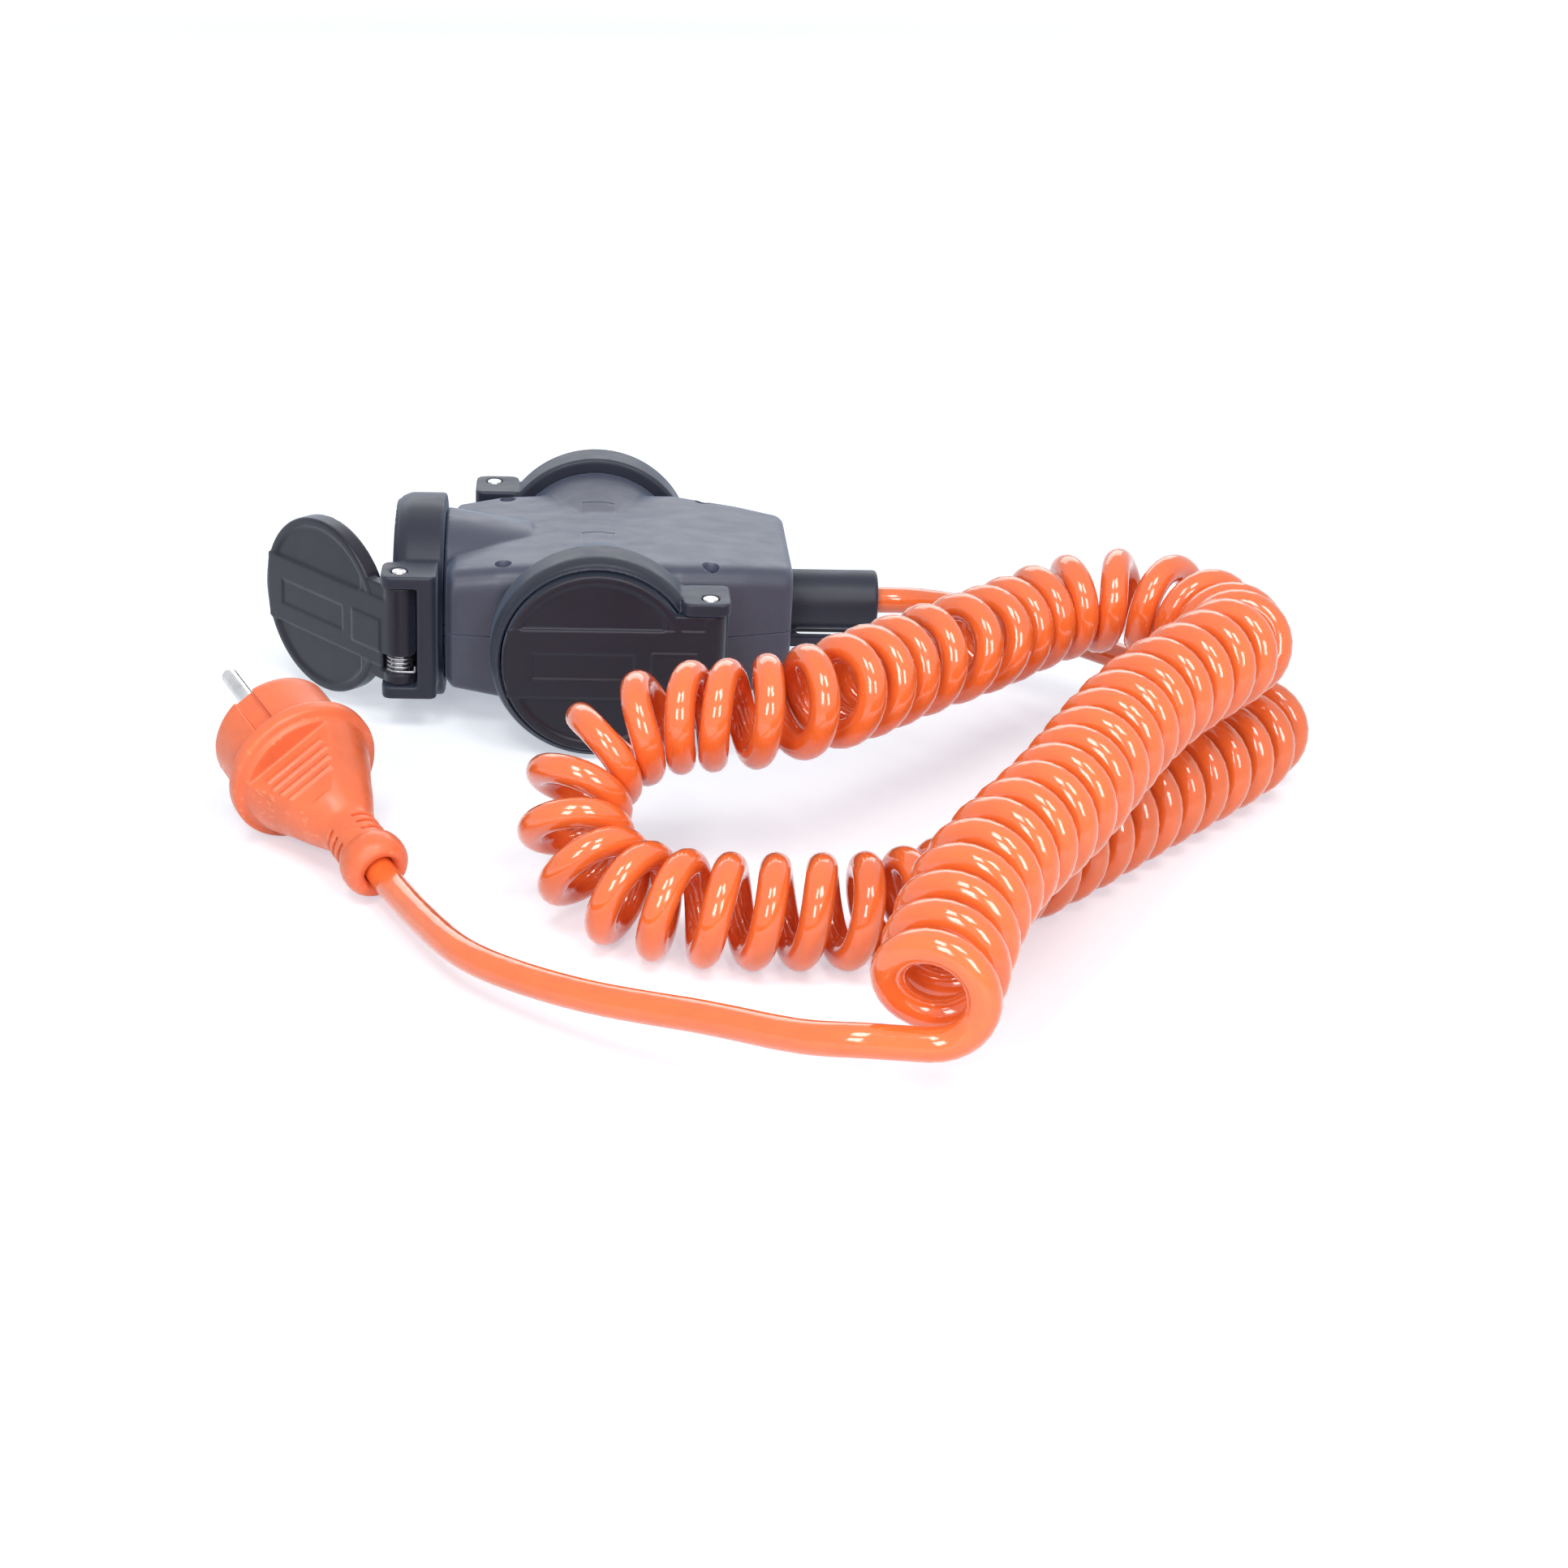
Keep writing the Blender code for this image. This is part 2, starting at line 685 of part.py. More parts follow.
def insert_mesh():
    """Round plug cup with two guide ribs, two contact holes and two slots for the earth clip."""
    cup = turned(
        (
            (0, -CUP_FLOOR),
            (CUP_RADIUS, -CUP_FLOOR),
            (CUP_MOUTH_RADIUS, -INSERT_STEP),
            (BORE_RADIUS - GAP, -INSERT_STEP),
            (BORE_RADIUS - GAP, -INSERT_DEPTH),
            (0, -INSERT_DEPTH),
        )
    )
    rib_base = (CUP_RADIUS + BORE_RADIUS) / 2
    tools = []
    ribs = []
    for side in (-1, 1):
        near, far = sorted((side * (CUP_RADIUS - GUIDE_RISE), side * rib_base))
        low = (near, -GUIDE_WIDTH / 2, -CUP_FLOOR - GAP)
        ribs.append(box(low, (far, GUIDE_WIDTH / 2, -2 * INSERT_STEP)))
        x = side * PIN_OFFSET
        tools.append(rod((x, 0, -INSERT_DEPTH), (x, 0, 0), CONTACT_HOLE_RADIUS, segments=MEDIUM_ROUND))
        seat = rod(
            (x, 0, -2 * INSERT_DEPTH),
            (x, 0, -CONTACT_SEAT),
            CONTACT_RADIUS + GAP,
            segments=MEDIUM_ROUND,
        )
        tools.append(seat)
        y = side * (CLIP_REACH - CLIP_THICKNESS / 2)
        half_x = CLIP_WIDTH / 2 + GAP
        half_y = CLIP_THICKNESS / 2 + GAP
        low = (-half_x, y - half_y, -2 * INSERT_DEPTH)
        tools.append(box(low, (half_x, y + half_y, -CUP_FLOOR / 2)))
    return cut(joined(cup, *ribs), *tools)


def earth_clip_mesh():
    """U strip whose arms pass through the insert and bow towards the plug."""
    bend = -CLIP_START - CLIP_BEND_STEP
    arm = [
        (CLIP_REACH, -CLIP_START),
        (CLIP_REACH - CLIP_BEND, bend),
        (CLIP_REACH, bend - CLIP_BEND_STEP),
        (CLIP_REACH, -CLIP_BACK),
    ]
    inside = [(CLIP_REACH, CLIP_THICKNESS - CLIP_BACK), *reversed(arm[:-1])]
    half = [(y - CLIP_THICKNESS, z) for y, z in inside] + arm
    mirrored = [(-y, z) for y, z in reversed(half)]
    return sideways(plate(half + mirrored, -CLIP_WIDTH / 2, CLIP_WIDTH / 2))


def contact_mesh():
    """Sleeve that takes a plug pin, closed at its back."""
    start, end = -CONTACT_SEAT - GAP, -CONTACT_END
    return turned(
        (
            (CONTACT_RADIUS, start),
            (CONTACT_RADIUS, end),
            (0, end),
            (0, end + CONTACT_WALL),
            (CONTACT_BORE, end + CONTACT_WALL),
            (CONTACT_BORE, start),
        ),
        SMALL_ROUND,
    )


def spring_points():
    """Centre line of a lid spring: a leg down to the pocket's floor, the turns and a short end."""
    length = SPRING_TURNS * SPRING_PITCH
    start = (SLOT_START + SLOT_END - length) / 2
    count = round(SPRING_TURNS * SPRING_POINTS)
    points = []
    foot = HINGE_OUT - BARREL_RADIUS - POCKET_CLEARANCE + SPRING_WIRE + GAP
    side = HINGE_REACH + SPRING_RADIUS
    points.append((side, start + SPRING_TAIL, foot))
    points.append((side, start, foot))
    for i in range(count + 1):
        angle = 2 * math.pi * SPRING_TURNS * i / count
        x = HINGE_REACH + SPRING_RADIUS * math.cos(angle)
        z = HINGE_OUT + SPRING_RADIUS * math.sin(angle)
        points.append((x, start + length * i / count, z))
    last_x, last_y, last_z = points[-1]
    points.append((last_x - SPRING_TAIL, last_y, last_z))
    return np.array(points)


def make_socket(name, root):
    """One socket: its fixed pieces, and the lid and seal on an empty at the hinge axis."""
    turn, reach, opened, live_side = SOCKETS[name]
    way = math.radians(turn - 90)
    place = (reach * math.cos(way), reach * math.sin(way), AXIS_HEIGHT)
    frame = empty(f"socket_{name}", root, place, (90, 0, turn))
    piece(f"collar_{name}", collar_mesh(), "housing", frame)
    piece(f"insert_{name}", insert_mesh(), "insert", frame)
    piece(f"earth_clip_{name}", earth_clip_mesh(), "steel", frame)
    for role, side in (("live", live_side), ("neutral", -live_side)):
        contact = contact_mesh()
        contact.transform(Matrix.Translation((side * PIN_OFFSET, 0, 0)))
        piece(f"contact_{role}_{name}", contact, "brass", frame)
    pin = hinge_rod(PIN_RADIUS, -EAR_END, EAR_END)
    piece(f"hinge_pin_{name}", pin, "steel", frame)
    points = spring_points()
    tube(f"lid_spring_{name}", points, SPRING_WIRE, 0, "steel", frame)
    hinge = empty(f"hinge_{name}", frame, (HINGE_REACH, 0, HINGE_OUT), (0, opened, 0))
    for part, mesh, look in (("lid", lid_mesh(), "lid"), ("lid_seal", seal_mesh(), "seal")):
        mesh.transform(Matrix.Translation((-HINGE_REACH, 0, -HINGE_OUT)))
        piece(f"{part}_{name}", mesh, look, hinge)


def housing_rings(inset):
    """Rounded sections of the housing from its left end to its right, each set in by a wall."""
    left = TUBE_STEP + inset - LEFT_TUBE_END
    right = HOUSING_RIGHT - inset
    sections = [
        *((left + x, narrower, lower) for x, narrower, lower in HOUSING_LEFT_TAPER),
        *HOUSING_SECTIONS,
        *((right - x, narrower, lower) for x, narrower, lower in HOUSING_RIGHT_TAPER),
    ]
    rings = []
    for x, narrower, lower in sections:
        half_width = HALF_WIDTH - inset - narrower
        half_height = HALF_HEIGHT - inset - lower
        outline = rounded_outline(
            (-half_width, AXIS_HEIGHT - half_height),
            (half_width, AXIS_HEIGHT + half_height),
            HOUSING_CORNER - inset,
        )
        rings.append([(x, y, z) for y, z in outline])
    return rings


def along_y(mesh):
    """Turns a body of revolution about Z so that its axis is along Y at the sockets' height."""
    mesh.transform(Matrix.Rotation(math.radians(90), 4, "X"))
    mesh.transform(Matrix.Translation((0, 0, AXIS_HEIGHT)))
    return mesh


def shell_mesh():
    """Both half shells in one: the lofted body, its three tubes, screw bosses and clamp block."""
    waist = turned(
        (
            (0, FRONT_TUBE_END),
            (TUBE_RADIUS, FRONT_TUBE_END),
            (TUBE_ROOT_RADIUS, TUBE_ROOT),
            (TUBE_ROOT_RADIUS, -TUBE_ROOT),
            (TUBE_RADIUS, -FRONT_TUBE_END),
            (0, -FRONT_TUBE_END),
        )
    )
    left_tube = rod(
        (-LEFT_TUBE_END, 0, AXIS_HEIGHT),
        (-LEFT_TUBE_ROOT, 0, AXIS_HEIGHT),
        LEFT_TUBE_RADIUS,
        TUBE_ROOT_RADIUS,
    )
    body = joined(loft(housing_rings(0)), along_y(waist), left_tube)
    tools = [loft(housing_rings(WALL))]
    spigot_end = COLLAR_DEPTH + SPIGOT_LENGTH + GAP
    for turn, reach in ((-180, LEFT_REACH), (-90, FRONT_REACH), (90, FRONT_REACH)):
        way = Vector((math.cos(math.radians(turn)), math.sin(math.radians(turn)), 0))
        centre = Vector((0, 0, AXIS_HEIGHT))
        outside = centre + way * reach
        tools.append(rod(centre + way * (reach - spigot_end), outside, SPIGOT_RADIUS + GAP))
        insert_end = reach - CLIP_BACK - GAP
        tools.append(rod(centre + way * insert_end, outside, BORE_RADIUS))
    hollow = cut(body, *tools)
    bosses = [
        rod(
            (x, y, AXIS_HEIGHT - BOSS_HALF_HEIGHT),
            (x, y, AXIS_HEIGHT + BOSS_HALF_HEIGHT),
            BOSS_RADIUS,
            segments=MEDIUM_ROUND,
        )
        for x, y in SCREW_SPOTS
    ]
    block_bottom = AXIS_HEIGHT - HALF_HEIGHT + WALL
    block = box(
        (CLAMP_START, -CLAMP_HALF_WIDTH, block_bottom),
        (CLAMP_START + CLAMP_LENGTH, CLAMP_HALF_WIDTH, AXIS_HEIGHT),
    )
    return cut(joined(hollow, block, *bosses), *shell_holes())


def shell_holes():
    """Cutters for the screws, the cord, the gland's neck and the strap."""
    high, low = AXIS_HEIGHT + 2 * HALF_HEIGHT, AXIS_HEIGHT - HALF_HEIGHT
    seat = AXIS_HEIGHT + SCREW_SEAT_RISE
    tip = seat - SCREW_LENGTH - 2 * GAP
    tools = []
    for x, y in SCREW_SPOTS:
        tools.append(rod((x, y, tip), (x, y, high), SCREW_HOLE, segments=SMALL_ROUND))
        head = SCREW_HEAD_RADIUS + GAP
        tools.append(rod((x, y, seat), (x, y, high), head, segments=SMALL_ROUND))
    for side in (-1, 1):
        x, y = CLAMP_START + CLAMP_LENGTH / 2, side * CLAMP_SCREW_OFFSET
        tip = AXIS_HEIGHT + CLAMP_HEIGHT - CLAMP_SCREW_LENGTH - GAP
        hole = CLAMP_SCREW_RADIUS + GAP
        tools.append(rod((x, y, tip), (x, y, AXIS_HEIGHT + WALL), hole, segments=SMALL_ROUND))
    groove_end = CLAMP_START + CLAMP_LENGTH + WALL / 2
    groove_start = CLAMP_START - WALL / 2
    groove = ((groove_start, 0, AXIS_HEIGHT), (groove_end, 0, AXIS_HEIGHT))
    tools.append(rod(*groove, CORD_BORE, segments=MEDIUM_ROUND))
    neck = (HOUSING_RIGHT - 1.5 * WALL, HOUSING_RIGHT + WALL)
    ends = ((x, 0, AXIS_HEIGHT) for x in neck)
    tools.append(rod(*ends, GLAND_NECK_RADIUS + GAP, segments=MEDIUM_ROUND))
    strap = STRAP_HALF_WIDTH + GAP
    corners = ((neck[0], -strap, STRAP_BOTTOM - GAP), (neck[1], strap, STRAP_TOP + GAP))
    tools.append(box(*corners))
    return tools


def screw_mesh(head_radius, head_height, shank_radius, length):
    """Round-head screw whose head rests on z = 0."""
    edge = head_height / 4
    return turned(
        (
            (0, head_height),
            (head_radius - edge, head_height),
            (head_radius, head_height - edge),
            (head_radius, 0),
            (shank_radius, 0),
            (shank_radius, shank_radius - length),
            (0, -length),
        ),
        SMALL_ROUND,
    )


def make_housing(root):
    whole = shell_mesh()
    far = 4 * HALF_WIDTH
    above = box((-far, -far, AXIS_HEIGHT - GAP / 2), (far, far, far))
    below = box((-far, -far, -far), (far, far, AXIS_HEIGHT + GAP / 2))
    lower = cut(whole.copy(), above)
    upper = cut(whole, below)
    piece("housing_lower", lower, "housing", root)
    piece("housing_upper", upper, "housing", root)
    for number, (x, y) in enumerate(SCREW_SPOTS, 1):
        screw = screw_mesh(SCREW_HEAD_RADIUS, SCREW_HEAD_HEIGHT, SCREW_SHANK_RADIUS, SCREW_LENGTH)
        obj = piece(f"housing_screw_{number}", screw, "steel", root)
        obj.location = (x, y, AXIS_HEIGHT + SCREW_SEAT_RISE + GAP)


def cross_outline(centre, reach_x, reach_y):
    """Outline of two crossed strips, one along X and one along Y."""
    left, right = centre[0] - BUSBAR_HALF, centre[0] + BUSBAR_HALF
    front, back = centre[1] - BUSBAR_HALF, centre[1] + BUSBAR_HALF
    return [
        (left, reach_y[0]),
        (right, reach_y[0]),
        (right, front),
        (reach_x[1], front),
        (reach_x[1], back),
        (right, back),
        (right, reach_y[1]),
        (left, reach_y[1]),
        (left, back),
        (reach_x[0], back),
        (reach_x[0], front),
        (left, front),
    ]


def make_busbars(root):
    """Live bar over the sleeves, neutral bar under them, and earth bar between the clips."""
    lap = CONTACT_END - BUSBAR_LAP
    reach_x = (lap - LEFT_REACH, BUSBAR_END)
    reach_y = (lap - FRONT_REACH, FRONT_REACH - lap)
    near = CONTACT_RADIUS + GAP
    far = near + BUSBAR_THICKNESS
    for role, side, low in (("live", 1, AXIS_HEIGHT + near), ("neutral", -1, AXIS_HEIGHT - far)):
        outline = cross_outline((side * PIN_OFFSET, side * PIN_OFFSET), reach_x, reach_y)
        bar = plate(outline, low, low + BUSBAR_THICKNESS)
        piece(f"busbar_{role}", bar, "brass", root)
    clear = CLIP_BACK + GAP
    outline = cross_outline(
        (0, 0),
        (clear - LEFT_REACH, BUSBAR_END),
        (clear - FRONT_REACH, FRONT_REACH - clear),
    )
    low = AXIS_HEIGHT + EARTH_BAR_RISE
    piece("busbar_earth", plate(outline, low, low + BUSBAR_THICKNESS), "brass", root)


def make_cord_entry(root):
    """Clamp and stub inside the housing, the rubber gland and the strap that hangs the unit up."""
    bottom = AXIS_HEIGHT + GAP / 2
    top = AXIS_HEIGHT + CLAMP_HEIGHT
    clamp_end = CLAMP_START + CLAMP_LENGTH
    saddle = box(
        (CLAMP_START, -CLAMP_HALF_WIDTH, bottom),
        (clamp_end, CLAMP_HALF_WIDTH, top),
    )
    ends = ((x, 0, AXIS_HEIGHT) for x in (CLAMP_START - WALL, clamp_end + WALL))
    tools = [rod(*ends, CORD_BORE, segments=MEDIUM_ROUND)]
    for number, side in enumerate((-1, 1), 1):
        x, y = CLAMP_START + CLAMP_LENGTH / 2, side * CLAMP_SCREW_OFFSET
        ends = ((x, y, 0), (x, y, 2 * top))
        tools.append(rod(*ends, CLAMP_SCREW_RADIUS + GAP, segments=SMALL_ROUND))
        radius = CLAMP_SCREW_RADIUS
        screw = screw_mesh(CLAMP_SCREW_HEAD, radius, radius, CLAMP_SCREW_LENGTH)
        obj = piece(f"clamp_screw_{number}", screw, "steel", root)
        obj.location = (x, y, top + GAP)
    piece("cable_clamp", cut(saddle, *tools), "clamp", root)

    flange_end = HOUSING_RIGHT - WALL - GAP
    gland = turned(
        (
            (GLAND_RADIUS - GLAND_ROUND, GLAND_END),
            (GLAND_RADIUS, GLAND_END - GLAND_ROUND),
            (GLAND_RADIUS, GLAND_START),
            (GLAND_NECK_RADIUS, GLAND_START),
            (GLAND_NECK_RADIUS, flange_end),
            (GLAND_FLANGE_RADIUS, flange_end),
            (GLAND_FLANGE_RADIUS, flange_end - GLAND_FLANGE_THICKNESS),
            (CORD_BORE, flange_end - GLAND_FLANGE_THICKNESS),
            (CORD_BORE, GLAND_END),
        ),
        MEDIUM_ROUND,
    )
    gland.transform(Matrix.Rotation(math.radians(90), 4, "Y"))
    gland.transform(Matrix.Translation((0, 0, AXIS_HEIGHT)))
    piece("cable_gland", gland, "housing", root)

    ends = ((x, 0, AXIS_HEIGHT) for x in (STUB_START, GLAND_END))
    piece("cord_stub", rod(*ends, CORD_RADIUS, segments=MEDIUM_ROUND), "cord", root)

    strap_end = GLAND_START + STRAP_LENGTH
    head_end = HOUSING_RIGHT - WALL - GAP
    eye = rounded_outline(
        (GLAND_START + STRAP_BAND, STRAP_BAND - STRAP_HALF_WIDTH),
        (strap_end - STRAP_BAND, STRAP_HALF_WIDTH - STRAP_BAND),
        STRAP_BAND / 2,
    )
    head_start = head_end - STRAP_HEAD_LENGTH
    round_end = STRAP_HALF_WIDTH / 2
    outline = [
        (head_start, STRAP_HEAD_HALF),
        (head_start, -STRAP_HEAD_HALF),
        (head_end, -STRAP_HEAD_HALF),
        (head_end, -STRAP_HALF_WIDTH),
        *arc((strap_end - round_end, round_end - STRAP_HALF_WIDTH), round_end, -90, 0),
        *arc((strap_end - round_end, STRAP_HALF_WIDTH - round_end), round_end, 0, 90),
        (head_end, STRAP_HALF_WIDTH),
        (head_end, STRAP_HEAD_HALF),
    ]
    strap = plate(outline, STRAP_BOTTOM, STRAP_TOP, eye)
    piece("hanging_strap", strap, "housing", root)


def plug_frame(root):
    """An empty at the plug's cord end: z runs along the plug and x through both pins."""
    frame = empty("plug_axis", root, PLUG_PLACE)
    heading = Matrix.Rotation(math.radians(PLUG_HEADING), 4, "Z")
    tilt = Matrix.Rotation(math.radians(90 - PLUG_TILT), 4, "Y")
    roll = Matrix.Rotation(math.radians(90 + PLUG_ROLL), 4, "Z")
    frame.rotation_euler = (heading @ tilt @ roll).to_euler()
    return frame


def plug_body_mesh():
    """Moulded plug: bell end, flexible neck, flared grip, flange and round front."""
    flange_end = PLUG_FLANGE_START + PLUG_FLANGE_THICKNESS
    body = turned(
        (
            (0, PLUG_LENGTH),
            (PLUG_FRONT_RADIUS - 3 * PLUG_EDGE, PLUG_LENGTH),
            (PLUG_FRONT_RADIUS - PLUG_EDGE, PLUG_LENGTH - PLUG_EDGE),
            (PLUG_FRONT_RADIUS, PLUG_LENGTH - 3 * PLUG_EDGE),
            (PLUG_FRONT_RADIUS, flange_end),
            (PLUG_FLANGE_RADIUS - PLUG_EDGE, flange_end),
            (PLUG_FLANGE_RADIUS, flange_end - PLUG_EDGE),
            (PLUG_FLANGE_RADIUS, PLUG_FLANGE_START + PLUG_EDGE),
            (PLUG_FLANGE_RADIUS - PLUG_EDGE, PLUG_FLANGE_START),
            *PLUG_GRIP,
            (PLUG_NECK_RADIUS, PLUG_NECK_END),
            (PLUG_NECK_RADIUS, PLUG_END_LENGTH),
            (PLUG_END_RADIUS, PLUG_END_LENGTH - 3 * PLUG_EDGE),
            (PLUG_END_RADIUS, 3 * PLUG_EDGE),
            (PLUG_END_RADIUS - 2 * PLUG_EDGE, 0),
            (CORD_BORE, 0),
            (CORD_BORE, PLUG_BORE_DEPTH),
            (0, PLUG_BORE_DEPTH),
        ),
        PLUG_ROUND,
    )
    return cut(joined(cut(body, *grip_cutters()), *grip_ribs()), *plug_cutters())


def grip_cutters():
    """Two wedges that flatten the sides of the grip."""
    far = 2 * PLUG_FLANGE_RADIUS
    end = PLUG_FLANGE_START - 2 * PLUG_EDGE
    cutters = []
    for side in (-1, 1):
        outline = [
            (side * GRIP_OFFSET, GRIP_START),
            (side * (GRIP_OFFSET + GRIP_RISE), end),
            (side * far, end),
            (side * far, GRIP_START),
        ]
        cutters.append(upright(plate(outline, -far, far)))
    return cutters


def grip_ribs():
    """Low ribs across each flat of the grip."""
    ribs = []
    for side in (-1, 1):
        for i in range(RIB_COUNT):
            start = RIB_START + i * RIB_PITCH
            share = (start - GRIP_START) / (PLUG_FLANGE_START - GRIP_START)
            top = GRIP_OFFSET + GRIP_RISE * share + RIB_HEIGHT
            near, far = sorted((side * (top - 4 * RIB_HEIGHT), side * top))
            half = min(RIB_HALF_LENGTH, RIB_FIRST_HALF + i * RIB_GROWTH)
            ribs.append(box((near, -half, start), (far, half, start + RIB_WIDTH)))
    return ribs


def plug_cutters():
    """Flex slots of the neck, guide grooves, pin holes and recesses of the side contacts."""
    tools = []
    flange_end = PLUG_FLANGE_START + PLUG_FLANGE_THICKNESS
    far = 2 * PLUG_FLANGE_RADIUS
    ahead = 2 * PLUG_LENGTH
    for i in range(FLEX_SLOT_COUNT):
        low = FLEX_SLOT_START + i * FLEX_SLOT_PITCH
        high = low + FLEX_SLOT_WIDTH
        outer = 2 * PLUG_NECK_RADIUS
        ring = ((outer, high), (outer, low), (FLEX_SLOT_RADIUS, low), (FLEX_SLOT_RADIUS, high))
        web = box((-far, -FLEX_WEB_HALF, 0), (far, FLEX_WEB_HALF, ahead))
        tools.append(cut(turned(ring, PLUG_ROUND), web))
    for side in (-1, 1):
        floor = PLUG_FRONT_RADIUS - GROOVE_DEPTH
        near, wide = sorted((side * floor, side * far))
        tools.append(box((near, -GROOVE_HALF, flange_end), (wide, GROOVE_HALF, ahead)))
        x = side * PIN_OFFSET
        hole_end = PLUG_LENGTH - PLUG_PIN_HOLD
        ends = ((x, 0, hole_end), (x, 0, ahead))
        tools.append(rod(*ends, PIN_BORE, segments=MEDIUM_ROUND))
        recess = PLUG_FRONT_RADIUS - SIDE_CLIP_THICKNESS - GAP
        near, wide = sorted((side * recess, side * far))
        half = SIDE_CLIP_HALF + GAP
        start = flange_end + SIDE_CLIP_MARGIN - GAP
        tools.append(box((-half, near, start), (half, wide, ahead)))
    return tools


def make_plug(root):
    frame = plug_frame(root)
    piece("plug_body", plug_body_mesh(), "plug", frame)
    tip = PLUG_LENGTH + PLUG_PIN_LENGTH
    start = PLUG_LENGTH - PLUG_PIN_HOLD + GAP
    for number, side in enumerate((-1, 1), 1):
        pin = turned(
            (
                (0, tip),
                (PIN_RADIUS / 2, tip - PIN_NOSE / 10),
                (0.85 * PIN_RADIUS, tip - PIN_NOSE / 2),
                (PIN_RADIUS, tip - PIN_NOSE),
                (PIN_RADIUS, start),
                (0, start),
            ),
            MEDIUM_ROUND,
        )
        pin.transform(Matrix.Translation((side * PIN_OFFSET, 0, 0)))
        piece(f"plug_pin_{number}", pin, "steel", frame)
        low = PLUG_FLANGE_START + PLUG_FLANGE_THICKNESS + SIDE_CLIP_MARGIN
        inner = PLUG_FRONT_RADIUS - SIDE_CLIP_THICKNESS
        near, wide = sorted((side * inner, side * (PLUG_FRONT_RADIUS - GAP)))
        high = PLUG_LENGTH - SIDE_CLIP_MARGIN
        strip = box((-SIDE_CLIP_HALF, near, low), (SIDE_CLIP_HALF, wide, high))
        piece(f"plug_earth_clip_{number}", strip, "steel", frame)
    axis = frame.rotation_euler.to_matrix() @ Vector((0, 0, 1))
    return np.array(PLUG_PLACE), np.array(axis)


def cord_points(start, start_way, route, end, end_way):
    """A cord from one straight end to another, smooth through its route between them."""
    straight = 2 * CORD_RADIUS
    knots = [start + straight * start_way, *route, end - straight * end_way]
    return np.vstack((start, smooth_curve(knots, CORD_STEP), end))


def make_cords(root):
    """The curly cord, its tail to the gland and its lead to the plug."""
    curls, start_way, end_way = curl_points()
    tube("cord_curl", curls, CORD_RADIUS, 1, "cord", root)
    gap = least_gap(curls, CURL_POINTS, CORD_RADIUS)
    print(f"curly cord: {len(curls)} points, least gap to itself {gap * 1000:.2f} mm")

    gland_face = np.array((GLAND_END + GAP, 0, AXIS_HEIGHT))
    along_x = np.array((1.0, 0.0, 0.0))
    curl_start = curls[0] - GAP * start_way
    points = cord_points(gland_face, along_x, TAIL_ROUTE, curl_start, start_way)
    tube("cord_tail", points, CORD_RADIUS, 2, "cord", root)

    place, axis = make_plug(root)
    curl_end = curls[-1] + GAP * end_way
    bore_end = place + (PLUG_BORE_DEPTH - GAP) * axis
    points = cord_points(curl_end, end_way, LEAD_ROUTE, bore_end, axis)
    tube("cord_lead", points, CORD_RADIUS, 2, "cord", root)


def centre_shift():
    """Place of the sockets' crossing that centres the distributor's box on X."""
    opened = math.radians(LID_OPEN_LEFT)
    tip = HINGE_REACH + LID_RADIUS
    bead_top = LID_TOP - LID_BEAD_STEP - HINGE_OUT
    corners = ((tip, bead_top - LID_EDGE), (tip - LID_EDGE, bead_top))
    lid = max(reach * math.sin(opened) + rise * math.cos(opened) for reach, rise in corners)
    left = LEFT_REACH + HINGE_OUT + lid
    return (left - GLAND_END) / 2


def main():
    for obj in list(bpy.data.objects):
        bpy.data.objects.remove(obj)
    parts = bpy.data.collections.new(OBJECT_NAME)
    bpy.context.scene.collection.children.link(parts)
    root = empty("distributor", location=(centre_shift(), 0, 0))
    make_housing(root)
    for name in SOCKETS:
        make_socket(name, root)
    make_busbars(root)
    make_cord_entry(root)
    make_cords(root)
    spring_gap = least_gap(spring_points(), SPRING_POINTS, SPRING_WIRE)
    print(f"lid springs: least gap to itself {spring_gap * 1000:.2f} mm")


main()
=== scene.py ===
"""Finished look of the three-way socket distributor, its curly cord and its safety plug.

Sizes are in metres and angles in degrees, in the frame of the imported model.
"""

import math

import bmesh
import bpy
import numpy as np
from bpy.props import FloatProperty, FloatVectorProperty, IntProperty, PointerProperty
from mathutils import Matrix, Vector


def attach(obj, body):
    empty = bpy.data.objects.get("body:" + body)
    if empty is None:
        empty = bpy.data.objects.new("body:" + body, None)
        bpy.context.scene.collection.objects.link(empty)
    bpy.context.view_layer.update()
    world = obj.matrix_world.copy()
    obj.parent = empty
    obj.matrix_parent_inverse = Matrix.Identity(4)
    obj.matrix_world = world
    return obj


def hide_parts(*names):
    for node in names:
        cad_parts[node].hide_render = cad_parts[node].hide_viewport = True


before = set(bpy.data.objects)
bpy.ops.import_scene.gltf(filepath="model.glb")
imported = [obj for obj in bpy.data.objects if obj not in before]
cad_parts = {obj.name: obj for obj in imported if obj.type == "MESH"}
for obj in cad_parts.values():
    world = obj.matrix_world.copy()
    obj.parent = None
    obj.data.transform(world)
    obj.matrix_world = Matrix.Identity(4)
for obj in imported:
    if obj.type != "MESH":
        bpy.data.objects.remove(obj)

bl_info = {
    "name": "Curly cord distributor",
    "version": (1, 0, 0),
    "blender": (4, 5, 0),
    "location": "3D View > Sidebar > Distributor",
    "description": "Builds the finished socket distributor with its curly cord and plug",
    "category": "Object",
}

# Place of the crossing of the socket axes, and the clearance between separate pieces
CROSSING = (0.0083403, 0.0, 0.0)
AXIS_HEIGHT = 0.0314
GAP = 0.0003

